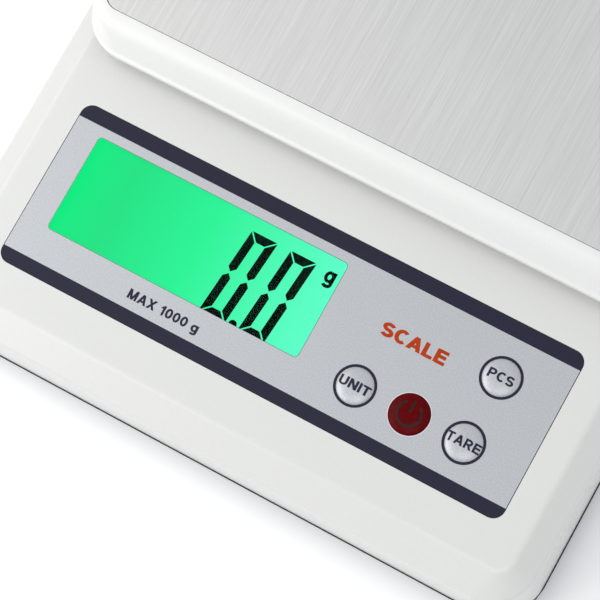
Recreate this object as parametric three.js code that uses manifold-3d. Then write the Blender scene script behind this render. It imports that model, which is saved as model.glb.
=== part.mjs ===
// Counting scale: a two-shell casing with a display and four keys, and a floating weighing pan on a load cell.
// Millimetres. +X to the user's right, +Y to the rear, +Z up. The origin is under the middle, at foot level.

import * as THREE from "three";
import { mergeVertices } from "three/addons/utils/BufferGeometryUtils.js";
import Module from "manifold-3d";

const wasm = await Module();
wasm.setup();

// ---- Driving dimensions ----

// Casing
const CASE_WIDTH = 165; // across the upper casing's walls, just under the sloped band
const CASE_DEPTH = 236;
const CASE_CORNER_R = 12;
const BEVEL_DROP = 4; // height of the sloped band below the flat top
const BEVEL_SIDE = 5.8; // its width along the left and right edges
const BEVEL_END = 7.8; // its width along the front and rear edges
const TOP_CORNER_R = 4.6;
const WALL = 2.2;
const BASE_BOTTOM_Z = 2;
const BASE_FLOOR = 2.2;
const SEAM_Z = 5.5; // top of the lower casing's visible edge
const SEAM_GAP = 0.15;
const WALL_DRAFT = 0.6; // how far the upper casing's walls lean out down to the seam
const BASE_PROUD = 0.25; // lower casing's edge past the upper casing's wall
const BASE_DRAFT = 0.9; // how far that edge leans in at the bottom
const LIP_HEIGHT = 3; // locating lip of the lower casing, inside the upper one
const LIP_WALL = 1.2;
const FIT_GAP = 0.3; // clearance between fitted pieces
const SEAT_GAP = 0.05; // clearance between pieces that rest on each other

// Control panel, placed by its front left corner
const PANEL_WIDTH = 138;
const PANEL_DEPTH = 44.3;
const PANEL_CORNER_R = 3;
const PANEL_THICKNESS = 0.5;
const PANEL_FRONT_MARGIN = 18.25; // from the casing's front wall
const WINDOW_WIDTH = 69.9;
const WINDOW_DEPTH = 25.8;
const WINDOW_LEFT = 7.4;
const WINDOW_FRONT = 12.1;
const WINDOW_CORNER_R = 1;

// Keys, placed from the same corner: name, x, y, cap radius
const KEY_R = 4.5;
const POWER_KEY_R = 4.95;
const KEYS = [
  { name: "unit", x: 92.9, y: 12.7, radius: KEY_R, finish: "key_silver" },
  { name: "power", x: 107.5, y: 12.7, radius: POWER_KEY_R, finish: "key_red" },
  { name: "tare", x: 122, y: 12.7, radius: KEY_R, finish: "key_silver" },
  { name: "pcs", x: 122.4, y: 30.4, radius: KEY_R, finish: "key_silver" },
];
const KEY_GAP = 0.2;
const KEY_TRAVEL = 0.5;
const KEY_DOME = 0.9; // height of the dome above the panel
const KEY_FLANGE = 1.5; // how far the hidden flange reaches past the cap
const KEY_FLANGE_THICKNESS = 1.2;
const STEM_R = 1.6;

// Display and board
const LENS_LIFT = 0.2; // lens above the ceiling's inner face
const LENS_OVERLAP = 1.55; // lens edge under the panel film
const FRAME_LIP = 0.8; // glass below the ceiling, behind the frame's front
const LCD_THICKNESS = 2.8;
const LCD_BORDER = 3.3; // glass edge outside the window opening
const FRAME_WALL = 1.7;
const LIGHT_THICKNESS = 3.5;
const LIGHT_LIFT = 1; // light guide above the board
const LAYER_GAP = 0.1;
const LED_ROOM = 2.5;
const CONNECTOR_ROOM = 4.5;
const CONNECTOR_WIDTH = 2.5;
const BOARD_WIDTH = 150;
const BOARD_DEPTH = 44;
const BOARD_THICKNESS = 1.6;
const BOARD_HOLE_IN = 4; // screw hole to board edge
const SWITCH_SIZE = 6;
const SWITCH_HEIGHT = 3.5;
const PLUNGER_R = 1.65;
const PLUNGER_PROUD = 0.8;
const PLUNGER_INSIDE = 1;

// Weighing pan
const PAN_WIDTH = 158;
const PAN_DEPTH = 158;
const PAN_CORNER_R = 12.5;
const PAN_LIFT = 3.5; // air gap between the tray and the casing's top
const PAN_LIP = 1.6; // upright band at the tray's lower edge
const PAN_RISE = 7.5; // tray's lower edge to its rim
const PAN_WALL = 2;
const PAN_REAR_MARGIN = 3.4; // tray's rear edge to the casing's rear wall
const RIM_SIDE = 3.75; // tray edge to plate at the left and right
const RIM_END = 9.35; // and at the front and rear
const PLATE_CORNER_R = 4.4;
const PLATE_THICKNESS = 0.8;
const PLATE_SINK = 0.35; // plate's face below the tray's rim
const RIM_LAND = 0.9; // flat rim between the slope and the plate
const PAN_TRAVEL = 0.5;
const POST_PITCH = 100; // between the pan's four fixing posts
const POST_R = 4;
const POST_HOLE_R = 5.5;

// Load cell and carrier
const CELL_LENGTH = 80;
const CELL_SIZE = 12.7;
const CELL_SCREW_OUT = 35; // outer screw from the beam's middle
const CELL_SCREW_IN = 20;
const CELL_PAD = 25; // length of the pads under and over its ends
const CELL_BASE_THICKNESS = 2;
const STOP_R = 4; // overload stop under the beam's free end
const STOP_IN = 5; // stop to the outer screw
const SEAT_RISE = 0.8; // raised seat on the lower casing's floor
const CARRIER_PAD = 1;
const CARRIER_THICKNESS = 2;
const CARRIER_HEADROOM = 2.95; // over the carrier, for its screw heads
const CARRIER_ARM = 11;

// Batteries: three small round cells side by side
const CELLS = 3;
const BATTERY_R = 5.15;
const BATTERY_LENGTH = 44.5;
const BATTERY_NUB = 1;
const BATTERY_SPACE = 0.9; // between neighbouring cells
const SPRING_ROOM = 5.1;
const BAY_REAR_MARGIN = 32; // middle of the bay to the casing's rear wall
const BAY_WALL = 1.6;
const BAY_HEADROOM = 0.6;
const COVER_THICKNESS = 1.8;
const COVER_SIDE = 2.6; // cover past the bay on each side
const COVER_FRONT = 6.1; // past the bay towards the latch
const COVER_REAR = 5.1; // past the bay towards the hooks
const COVER_FRAME = 3.2; // thickened floor round the cover
const COVER_FRAME_RISE = 2.3;
const CONTACT_THICKNESS = 0.4;

// Feet and fasteners
const FOOT_R = 8;
const FOOT_SINK = 0.8;
const FOOT_IN_X = 20.5; // foot's middle to the casing's wall
const FOOT_IN_Y = 21;
const SCREW_IN_X = 9.5; // casing screw to the wall
const SCREW_IN_Y = 10;
const TOWER_R = 5;
const TOWER_RISE = 2.8; // screw tower above the floor
const TOWER_ROOF = 1.8; // material between a screw's head and the tower's top
const BOSS_R = 3.5;
const BOARD_BOSS_R = 3;
const BOSS_BITE = 0.3; // how far a boss reaches into the ceiling it grows from
const SCREW_GAP = 0.2; // round a screw's shaft
const SCREW_TIP_ROOM = 1.5; // pilot hole past a screw's tip
const HEAD_GAP = 0.5; // round a sunk screw head
const CASING_SCREW = { headR: 2.9, headHeight: 1.7, shaftR: 1.4, length: 12 };
const BOARD_SCREW = { headR: 2.5, headHeight: 1.6, shaftR: 1.2, length: 7 };
const TRAY_SCREW = { headR: 3, headHeight: 1.8, shaftR: 1.3, length: 8 };
const BEAM_BASE_SCREW = { headR: 3.4, headHeight: 1.7, shaftR: 1.9, length: 13 };
const BEAM_TOP_SCREW = { headR: 3.4, headHeight: 1.7, shaftR: 1.9, length: 11 };
const BEAM_SCREW_SINK = 1.9; // depth of the sunk heads under the casing
const BEAM_BORE = 10.5; // threaded depth in the beam

// Leads: radius, and their run above the floor
const BATTERY_LEAD_R = 0.6;
const CELL_CABLE_R = 1.1;
const LEAD_SIDES = 6;
const LEAD_RISE = 1.8;
const LEAD_END_IN = 15; // where a battery lead meets the board, from the board's edge
const LEAD_EASE = 7; // straight stretch at each end of a run along the floor

// ---- Derived places ----

const UPPER_BOTTOM_Z = SEAM_Z + SEAM_GAP;
const FLOOR_Z = BASE_BOTTOM_Z + BASE_FLOOR;
const TOWER_TOP_Z = FLOOR_Z + TOWER_RISE;
const CELL_BOTTOM_Z = FLOOR_Z + SEAT_RISE + CELL_BASE_THICKNESS + 2 * SEAT_GAP;
const CELL_TOP_Z = CELL_BOTTOM_Z + CELL_SIZE;
const CARRIER_BOTTOM_Z = CELL_TOP_Z + SEAT_GAP + CARRIER_PAD;
const CARRIER_TOP_Z = CARRIER_BOTTOM_Z + CARRIER_THICKNESS;
const CEILING_Z = CARRIER_TOP_Z + CARRIER_HEADROOM;
const CASE_TOP_Z = CEILING_Z + WALL;
const BEVEL_Z = CASE_TOP_Z - BEVEL_DROP;
const RECESS_Z = CASE_TOP_Z - PANEL_THICKNESS;
const PANEL_TOP_Z = CASE_TOP_Z + SEAT_GAP;
const PANEL_X = -PANEL_WIDTH / 2;
const PANEL_Y = -CASE_DEPTH / 2 + PANEL_FRONT_MARGIN;
const PANEL_MID_Y = PANEL_Y + PANEL_DEPTH / 2;
const WINDOW_X = PANEL_X + WINDOW_LEFT + WINDOW_WIDTH / 2;
const WINDOW_Y = PANEL_Y + WINDOW_FRONT + WINDOW_DEPTH / 2;
const LCD_TOP_Z = CEILING_Z - FRAME_LIP;
const LCD_BOTTOM_Z = LCD_TOP_Z - LCD_THICKNESS;
const LIGHT_TOP_Z = LCD_BOTTOM_Z - LAYER_GAP;
const BOARD_TOP_Z = LIGHT_TOP_Z - LIGHT_THICKNESS - LIGHT_LIFT;
const LCD_WIDTH = WINDOW_WIDTH + 2 * LCD_BORDER;
const LCD_DEPTH = WINDOW_DEPTH + 2 * LCD_BORDER;
const BOARD_BOTTOM_Z = BOARD_TOP_Z - BOARD_THICKNESS;
const PAN_Y = CASE_DEPTH / 2 - PAN_REAR_MARGIN - PAN_DEPTH / 2;
const PAN_BOTTOM_Z = CASE_TOP_Z + PAN_LIFT;
const PAN_TOP_Z = PAN_BOTTOM_Z + PAN_RISE;
const PLATE_WIDTH = PAN_WIDTH - 2 * RIM_SIDE;
const PLATE_DEPTH = PAN_DEPTH - 2 * RIM_END;
const FOOT_X = CASE_WIDTH / 2 - FOOT_IN_X;
const FOOT_Y = CASE_DEPTH / 2 - FOOT_IN_Y;
const SCREW_X = CASE_WIDTH / 2 - SCREW_IN_X;
const SCREW_Y = CASE_DEPTH / 2 - SCREW_IN_Y;
const BATTERY_PITCH = 2 * BATTERY_R + BATTERY_SPACE;
const BAY_Y = CASE_DEPTH / 2 - BAY_REAR_MARGIN;
const BAY_LENGTH = BATTERY_LENGTH + SPRING_ROOM + 2 * CONTACT_THICKNESS;
const BAY_DEPTH = CELLS * BATTERY_PITCH + 1.2;
const COVER_TOP_Z = BASE_BOTTOM_Z + COVER_THICKNESS;
const BATTERY_Z = COVER_TOP_Z + 0.4 + BATTERY_R;
const BAY_TOP_Z = BATTERY_Z + BATTERY_R + BAY_HEADROOM;
const COVER_WIDTH = BAY_LENGTH + 2 * COVER_SIDE;
const COVER_FRONT_Y = BAY_Y - BAY_DEPTH / 2 - COVER_FRONT;
const COVER_REAR_Y = BAY_Y + BAY_DEPTH / 2 + COVER_REAR;

// ---- Finishes ----

function finish(color, roughness, metalness = 0) {
  return { color, roughness, metalness };
}

const FINISHES = {
  casing_white: finish(0xe4e4e2, 0.38),
  tray_white: finish(0xf0f0ee, 0.35),
  base_dark: finish(0x23232f, 0.5),
  film_silver: finish(0xc6c9ce, 0.45, 0.2),
  lens_clear: finish(0xeef4f2, 0.08),
  lcd_green: finish(0x2fe58f, 0.2),
  frame_white: finish(0xdcdcd8, 0.6),
  light_guide: finish(0xd8f5e4, 0.3),
  led_white: finish(0xf4f4e8, 0.4),
  connector_grey: finish(0x5a5d60, 0.8),
  board_green: finish(0x1f6b3c, 0.55),
  chip_black: finish(0x101012, 0.35),
  key_silver: finish(0xc9ccd1, 0.35, 0.2),
  key_red: finish(0x7a0c10, 0.3),
  switch_black: finish(0x1b1b1d, 0.5),
  plunger_grey: finish(0x3a3a3e, 0.5),
  plate_steel: finish(0xcfcfcf, 0.35, 0.9),
  beam_aluminium: finish(0xc0c2c6, 0.4, 0.9),
  carrier_aluminium: finish(0xadb0b5, 0.5, 0.85),
  screw_steel: finish(0x9c9ea2, 0.35, 0.95),
  foot_rubber: finish(0x2a2a2c, 0.9),
  battery_jacket: finish(0x2f5f9e, 0.35, 0.3),
  contact_nickel: finish(0xd2d2cc, 0.3, 0.95),
  cable_grey: finish(0x8c8f92, 0.6),
  lead_red: finish(0xb01818, 0.5),
  lead_black: finish(0x151517, 0.5),
};

// ---- Geometry helpers ----

const CORNER_STEPS = 5;
const HIDDEN_SIDES = 10; // sides of round shapes inside the casing
const SEEN_SIDES = 16; // and of those on the outside

// Points of a rounded rectangle, anticlockwise from the right side's front corner.
function roundedPoints(width, depth, radius, x = 0, y = 0) {
  const points = [];
  const corners = [
    [width / 2 - radius, depth / 2 - radius, 0],
    [-width / 2 + radius, depth / 2 - radius, 1],
    [-width / 2 + radius, -depth / 2 + radius, 2],
    [width / 2 - radius, -depth / 2 + radius, 3],
  ];
  for (const [cx, cy, quarter] of corners) {
    for (let i = 0; i <= CORNER_STEPS; i++) {
      const a = (quarter + i / CORNER_STEPS) * (Math.PI / 2);
      points.push(new THREE.Vector2(x + cx + radius * Math.cos(a), y + cy + radius * Math.sin(a)));
    }
  }
  return points;
}

// A closed skin over rounded rectangles stacked from low to high: {z, width, depth, radius}.
function loft(sections, x = 0, y = 0) {
  const rings = sections.map((s) => roundedPoints(s.width, s.depth, s.radius, x, y));
  const count = rings[0].length;
  const position = rings.flatMap((ring, k) => ring.flatMap((p) => [p.x, p.y, sections[k].z]));
  const index = [];
  for (let k = 0; k + 1 < rings.length; k++) {
    for (let i = 0; i < count; i++) {
      const j = (i + 1) % count;
      const low = k * count;
      const high = low + count;
      index.push(low + i, low + j, high + j, low + i, high + j, high + i);
    }
  }
  const lid = THREE.ShapeUtils.triangulateShape(rings[0], []);
  const top = (rings.length - 1) * count;
  for (const [a, b, c] of lid) {
    index.push(c, b, a, top + a, top + b, top + c);
  }
  const geometry = new THREE.BufferGeometry();
  geometry.setAttribute("position", new THREE.Float32BufferAttribute(position, 3));
  geometry.setIndex(index);
  return geometry;
}

function roundedSlab(width, depth, radius, z0, z1, x = 0, y = 0) {
  return loft(
    [
      { z: z0, width, depth, radius },
      { z: z1, width, depth, radius },
    ],
    x,
    y,
  );
}

function box(x0, x1, y0, y1, z0, z1) {
  const geometry = new THREE.BoxGeometry(x1 - x0, y1 - y0, z1 - z0);
  return geometry.translate((x0 + x1) / 2, (y0 + y1) / 2, (z0 + z1) / 2);
}

function post(radius, z0, z1, x = 0, y = 0, sides = HIDDEN_SIDES) {
  const geometry = new THREE.CylinderGeometry(radius, radius, z1 - z0, sides);
  return geometry.rotateX(Math.PI / 2).translate(x, y, (z0 + z1) / 2);
}

// A turned piece: profile points are [radius, height], from the axis at the bottom to the axis at the top.
function turned(profile, x = 0, y = 0, sides = HIDDEN_SIDES) {
  const points = profile.map(([r, z]) => new THREE.Vector2(r, z));
  return new THREE.LatheGeometry(points, sides).rotateX(Math.PI / 2).translate(x, y, 0);
}

function solid(geometry) {
  const bare = geometry.clone();
  bare.deleteAttribute("normal");
  bare.deleteAttribute("uv");
  const merged = mergeVertices(bare, 1e-4);
  return new wasm.Manifold(
    new wasm.Mesh({
      numProp: 3,
      vertProperties: merged.attributes.position.array,
      triVerts: new Uint32Array(merged.index.array),
    }),
  );
}

function join(base, geometries) {
  return geometries.reduce((made, geometry) => made.add(solid(geometry)), base);
}

function cut(base, geometries) {
  return geometries.reduce((made, geometry) => made.subtract(solid(geometry)), base);
}

function geometryOf(made) {
  const mesh = made.getMesh();
  const geometry = new THREE.BufferGeometry();
  geometry.setAttribute("position", new THREE.Float32BufferAttribute(mesh.vertProperties, 3));
  geometry.setIndex(new THREE.BufferAttribute(mesh.triVerts, 1));
  return geometry;
}

const scale = new THREE.Group();

function piece(name, finishName, shape) {
  const geometry = shape.isBufferGeometry ? shape : geometryOf(shape);
  const mesh = new THREE.Mesh(geometry, new THREE.MeshStandardMaterial(FINISHES[finishName]));
  mesh.name = name;
  scale.add(mesh);
}

// The four places at plus and minus x and y round a middle.
function fourCorners(x, y, midY = 0) {
  return [
    { name: "front_left", x: -x, y: midY - y },
    { name: "front_right", x, y: midY - y },
    { name: "rear_left", x: -x, y: midY + y },
    { name: "rear_right", x, y: midY + y },
  ];
}

// A pan-head screw along Z: up is +1 when its tip points up.
function screw({ headR, headHeight, shaftR, length }, x, y, headZ, up = 1) {
  const tip = Math.min(shaftR * 0.6, 1);
  const profile = [
    [0, -headHeight],
    [headR * 0.8, -headHeight],
    [headR, -headHeight * 0.6],
    [headR, 0],
    [shaftR, 0],
    [shaftR, length - tip],
    [shaftR - tip, length],
    [0, length],
  ];
  const geometry = turned(profile);
  if (up < 0) {
    geometry.rotateX(Math.PI);
  }
  return geometry.translate(x, y, headZ);
}

// ---- Casing ----

const keyPlaces = KEYS.map((key) => ({ ...key, x: PANEL_X + key.x, y: PANEL_Y + key.y }));
const screwPlaces = fourCorners(SCREW_X, SCREW_Y);
const footPlaces = fourCorners(FOOT_X, FOOT_Y);
const postPlaces = fourCorners(POST_PITCH / 2, POST_PITCH / 2, PAN_Y);
const boardPlaces = fourCorners(
  BOARD_WIDTH / 2 - BOARD_HOLE_IN,
  BOARD_DEPTH / 2 - BOARD_HOLE_IN,
  PANEL_MID_Y,
);

function casingSection(z, inset, radius) {
  return { z, width: CASE_WIDTH - 2 * inset, depth: CASE_DEPTH - 2 * inset, radius };
}

function upperCasing() {
  const outer = loft([
    casingSection(UPPER_BOTTOM_Z, -WALL_DRAFT, CASE_CORNER_R + WALL_DRAFT),
    casingSection(BEVEL_Z, 0, CASE_CORNER_R),
    {
      z: CASE_TOP_Z,
      width: CASE_WIDTH - 2 * BEVEL_SIDE,
      depth: CASE_DEPTH - 2 * BEVEL_END,
      radius: TOP_CORNER_R,
    },
  ]);
  const innerFoot = WALL - WALL_DRAFT;
  const inner = loft([
    casingSection(UPPER_BOTTOM_Z - 1, innerFoot, CASE_CORNER_R - innerFoot),
    casingSection(BEVEL_Z - WALL / 2, WALL, CASE_CORNER_R - WALL),
    {
      z: CEILING_Z,
      width: CASE_WIDTH - 2 * BEVEL_SIDE - 1.6 * WALL,
      depth: CASE_DEPTH - 2 * BEVEL_END - 1.6 * WALL,
      radius: TOP_CORNER_R - WALL / 2,
    },
  ]);
  const bosses = [
    ...screwPlaces.map((p) => post(BOSS_R, TOWER_TOP_Z + LAYER_GAP, CEILING_Z + BOSS_BITE, p.x, p.y)),
    ...boardPlaces.map((p) => post(BOARD_BOSS_R, BOARD_TOP_Z + SEAT_GAP, CEILING_Z + BOSS_BITE, p.x, p.y)),
  ];
  const casingPilotTop = TOWER_TOP_Z - TOWER_ROOF + CASING_SCREW.length + SCREW_TIP_ROOM;
  const boardPilotTop = BOARD_BOTTOM_Z + BOARD_SCREW.length + SCREW_TIP_ROOM / 2;
  const openings = [
    roundedSlab(
      PANEL_WIDTH + 2 * FIT_GAP,
      PANEL_DEPTH + 2 * FIT_GAP,
      PANEL_CORNER_R + FIT_GAP,
      RECESS_Z,
      CASE_TOP_Z + 1,
      0,
      PANEL_MID_Y,
    ),
    roundedSlab(
      WINDOW_WIDTH + 2 * LENS_OVERLAP + 2 * FIT_GAP,
      WINDOW_DEPTH + 2 * LENS_OVERLAP + 2 * FIT_GAP,
      WINDOW_CORNER_R + FIT_GAP,
      CEILING_Z - 1,
      CASE_TOP_Z,
      WINDOW_X,
      WINDOW_Y,
    ),
    ...keyPlaces.map((key) => post(key.radius + KEY_GAP, CEILING_Z - 1, CASE_TOP_Z, key.x, key.y, SEEN_SIDES)),
    ...postPlaces.map((p) => post(POST_HOLE_R, CEILING_Z - 1, CASE_TOP_Z + 1, p.x, p.y, SEEN_SIDES)),
    ...screwPlaces.map((p) => post(CASING_SCREW.shaftR + SCREW_GAP, TOWER_TOP_Z, casingPilotTop, p.x, p.y)),
    ...boardPlaces.map((p) => post(BOARD_SCREW.shaftR + SCREW_GAP, BOARD_TOP_Z, boardPilotTop, p.x, p.y)),
  ];
  return cut(join(solid(outer).subtract(solid(inner)), bosses), openings);
}

function lowerCasing() {
  const proud = WALL_DRAFT + BASE_PROUD;
  const edge = loft([
    casingSection(BASE_BOTTOM_Z, BASE_DRAFT - proud, CASE_CORNER_R + proud - BASE_DRAFT),
    casingSection(SEAM_Z, -proud, CASE_CORNER_R + proud),
  ]);
  const lipInset = WALL + FIT_GAP - WALL_DRAFT * (1 - LIP_HEIGHT / (BEVEL_Z - SEAM_Z));
  const lip = loft([
    casingSection(FLOOR_Z, lipInset, CASE_CORNER_R - lipInset),
    casingSection(SEAM_Z + LIP_HEIGHT, lipInset, CASE_CORNER_R - lipInset),
  ]);
  const wellInset = lipInset + LIP_WALL;
  const well = loft([
    casingSection(FLOOR_Z, wellInset, CASE_CORNER_R - wellInset),
    casingSection(SEAM_Z + LIP_HEIGHT + 1, wellInset, CASE_CORNER_R - wellInset),
  ]);
  const shell = cut(join(solid(edge), [lip]), [well]);
  const raised = [
    ...screwPlaces.map((p) => post(TOWER_R, FLOOR_Z - 1, TOWER_TOP_Z, p.x, p.y)),
    ...batteryBayWalls(),
    cellSeat(),
    post(STOP_R, FLOOR_Z - 1, CELL_BOTTOM_Z - PAN_TRAVEL, CELL_SCREW_OUT - STOP_IN, PAN_Y),
  ];
  const openings = [
    ...screwPlaces.flatMap((p) => [
      post(CASING_SCREW.headR + HEAD_GAP, BASE_BOTTOM_Z - 1, TOWER_TOP_Z - TOWER_ROOF, p.x, p.y),
      post(CASING_SCREW.shaftR + SCREW_GAP, BASE_BOTTOM_Z, TOWER_TOP_Z + 1, p.x, p.y),
    ]),
    ...footPlaces.map((p) =>
      post(FOOT_R + FIT_GAP, BASE_BOTTOM_Z - 1, BASE_BOTTOM_Z + FOOT_SINK, p.x, p.y, SEEN_SIDES),
    ),
    ...batteryBayOpenings(),
    ...cellSeatOpenings(),
  ];
  return cut(join(shell, raised), openings);
}

// ---- Battery bay ----

function bayX(side, inset) {
  return side * (BAY_LENGTH / 2 + inset);
}

function batteryBayWalls() {
  const outX = BAY_LENGTH / 2 + BAY_WALL;
  const outY = BAY_DEPTH / 2 + BAY_WALL;
  return [
    box(-outX, outX, BAY_Y - outY, BAY_Y + outY, FLOOR_Z - 1, BAY_TOP_Z + BAY_WALL),
    box(
      -COVER_WIDTH / 2 - COVER_FRAME,
      COVER_WIDTH / 2 + COVER_FRAME,
      COVER_FRONT_Y - COVER_FRAME,
      COVER_REAR_Y + COVER_FRAME,
      FLOOR_Z - 1,
      FLOOR_Z + COVER_FRAME_RISE,
    ),
  ];
}

// Contact slots through the bay's roof: the two terminals' tabs pass out here.
function batteryBayOpenings() {
  const tabSlots = [-1, 1].map((side) => {
    const y = BAY_Y + side * BATTERY_PITCH;
    const x = bayX(side, -CONTACT_THICKNESS / 2 - SEAT_GAP);
    return box(x - 0.5, x + 0.5, y - 2, y + 2, BAY_TOP_Z - 1, BAY_TOP_Z + BAY_WALL + 1);
  });
  const rear = COVER_REAR_Y + FIT_GAP;
  return [
    box(
      -BAY_LENGTH / 2,
      BAY_LENGTH / 2,
      BAY_Y - BAY_DEPTH / 2,
      BAY_Y + BAY_DEPTH / 2,
      BASE_BOTTOM_Z - 1,
      BAY_TOP_Z,
    ),
    roundedSlab(
      COVER_WIDTH + 2 * FIT_GAP,
      rear - COVER_FRONT_Y + FIT_GAP,
      1.5,
      BASE_BOTTOM_Z - 1,
      COVER_TOP_Z + SEAT_GAP,
      0,
      (rear + COVER_FRONT_Y - FIT_GAP) / 2,
    ),
    box(
      -COVER_WIDTH / 2,
      COVER_WIDTH / 2,
      COVER_REAR_Y - 3.4,
      COVER_REAR_Y + 0.8,
      BASE_BOTTOM_Z - 1,
      COVER_TOP_Z + 1.6,
    ),
    box(-5.6, 5.6, COVER_FRONT_Y + 0.3, COVER_FRONT_Y + 3.3, BASE_BOTTOM_Z, FLOOR_Z + COVER_FRAME_RISE + 1),
    ...tabSlots,
  ];
}

// The lid: two hooks at the rear turn in a groove, and a tongue at the front clicks through a slot.
function batteryCover() {
  const depth = COVER_REAR_Y - COVER_FRONT_Y;
  const plate = roundedSlab(
    COVER_WIDTH,
    depth,
    1.2,
    BASE_BOTTOM_Z,
    COVER_TOP_Z,
    0,
    COVER_FRONT_Y + depth / 2,
  );
  const hooks = [-16, 16].map((x) =>
    box(x - 3.5, x + 3.5, COVER_REAR_Y - 1.8, COVER_REAR_Y - 0.2, COVER_TOP_Z - 0.5, COVER_TOP_Z + 1),
  );
  const tongue = [
    box(-5, 5, COVER_FRONT_Y + 1.4, COVER_FRONT_Y + 2.6, COVER_TOP_Z - 0.5, COVER_TOP_Z + 4.2),
    box(-5, 5, COVER_FRONT_Y + 0.9, COVER_FRONT_Y + 1.9, COVER_TOP_Z + 3.2, COVER_TOP_Z + 4.2),
  ];
  const fingerNotch = post(5, BASE_BOTTOM_Z - 1, BASE_BOTTOM_Z + 0.8, 0, COVER_FRONT_Y + 6);
  return cut(join(solid(plate), [...hooks, ...tongue]), [fingerNotch]);
}

// Cell number n, with its nub at the left end for odd cells and at the right end for even ones.
function batteryCell(n) {
  const body = BATTERY_LENGTH - BATTERY_NUB;
  const profile = [
    [0, 0],
    [BATTERY_R - 0.4, 0],
    [BATTERY_R, 0.4],
    [BATTERY_R, body - 0.4],
    [BATTERY_R - 0.4, body],
    [1.9, body],
    [1.9, BATTERY_LENGTH],
    [0, BATTERY_LENGTH],
  ];
  const side = n % 2 ? -1 : 1;
  const nubEnd = bayX(side, -CONTACT_THICKNESS - 2 * SEAT_GAP);
  const geometry = turned(profile, 0, 0, 16).translate(0, 0, -BATTERY_LENGTH);
  geometry.rotateY((side * Math.PI) / 2);
  return geometry.translate(nubEnd, BAY_Y + (n - 2) * BATTERY_PITCH, BATTERY_Z);
}

// A conical wire spring that presses on a cell's flat end.
class SpringCurve extends THREE.Curve {
  constructor(side, y) {
    super();
    this.side = side;
    this.y = y;
  }
  getPoint(t, target = new THREE.Vector3()) {
    const angle = t * 2.5 * 2 * Math.PI;
    const radius = 3.4 - 1.6 * t;
    const start = bayX(this.side, -CONTACT_THICKNESS - SEAT_GAP);
    const along = start - this.side * t * (SPRING_ROOM - CONTACT_THICKNESS - 0.5);
    return target.set(along, this.y + radius * Math.cos(angle), BATTERY_Z + radius * Math.sin(angle));
  }
}

function roundSection(radius, sides) {
  const points = [];
  for (let i = 0; i < sides; i++) {
    const a = (i / sides) * 2 * Math.PI;
    points.push(new THREE.Vector2(radius * Math.cos(a), radius * Math.sin(a)));
  }
  return new THREE.Shape(points);
}

function spring(side, y) {
  return new THREE.ExtrudeGeometry(roundSection(0.35, 5), {
    steps: 20,
    bevelEnabled: false,
    extrudePath: new SpringCurve(side, y),
  });
}

// A contact plate behind one or two cells' ends.
function contactPlate(side, y0, y1) {
  const near = bayX(side, -SEAT_GAP);
  const far = bayX(side, -SEAT_GAP - CONTACT_THICKNESS);
  return box(Math.min(near, far), Math.max(near, far), y0, y1, BATTERY_Z - 4, BATTERY_Z + 4);
}

function terminalTab(side, y) {
  const near = bayX(side, -SEAT_GAP);
  const far = bayX(side, -SEAT_GAP - CONTACT_THICKNESS);
  const top = BAY_TOP_Z + BAY_WALL + 2;
  return box(Math.min(near, far), Math.max(near, far), y - 1.5, y + 1.5, BATTERY_Z, top);
}

function addBatteryBay() {
  const first = BAY_Y - BATTERY_PITCH;
  const last = BAY_Y + BATTERY_PITCH;
  for (let n = 1; n <= CELLS; n++) {
    piece(`battery_${n}`, "battery_jacket", batteryCell(n));
  }
  piece(
    "battery_terminal_positive",
    "contact_nickel",
    join(solid(contactPlate(-1, first - 4, first + 4)), [terminalTab(-1, first)]),
  );
  piece(
    "battery_terminal_negative",
    "contact_nickel",
    join(solid(contactPlate(1, last - 4, last + 4)), [terminalTab(1, last), spring(1, last)]),
  );
  piece(
    "battery_link_left",
    "contact_nickel",
    join(solid(contactPlate(-1, BAY_Y - 4, last + 4)), [spring(-1, BAY_Y)]),
  );
  piece(
    "battery_link_right",
    "contact_nickel",
    join(solid(contactPlate(1, first - 4, BAY_Y + 4)), [spring(1, first)]),
  );
  piece("battery_cover", "base_dark", batteryCover());
}

// ---- Control panel, display and board ----

function panelFilm() {
  const outline = new THREE.Shape(
    roundedPoints(PANEL_WIDTH, PANEL_DEPTH, PANEL_CORNER_R, 0, PANEL_MID_Y),
  );
  outline.holes.push(
    new THREE.Path(
      roundedPoints(WINDOW_WIDTH, WINDOW_DEPTH, WINDOW_CORNER_R, WINDOW_X, WINDOW_Y),
    ),
  );
  for (const key of keyPlaces) {
    const hole = new THREE.Path();
    hole.absarc(key.x, key.y, key.radius + KEY_GAP, 0, 2 * Math.PI);
    outline.holes.push(hole);
  }
  const film = new THREE.ExtrudeGeometry(outline, {
    depth: PANEL_THICKNESS,
    bevelEnabled: false,
    curveSegments: SEEN_SIDES / 2,
  });
  return film.translate(0, 0, RECESS_Z + SEAT_GAP);
}

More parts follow.
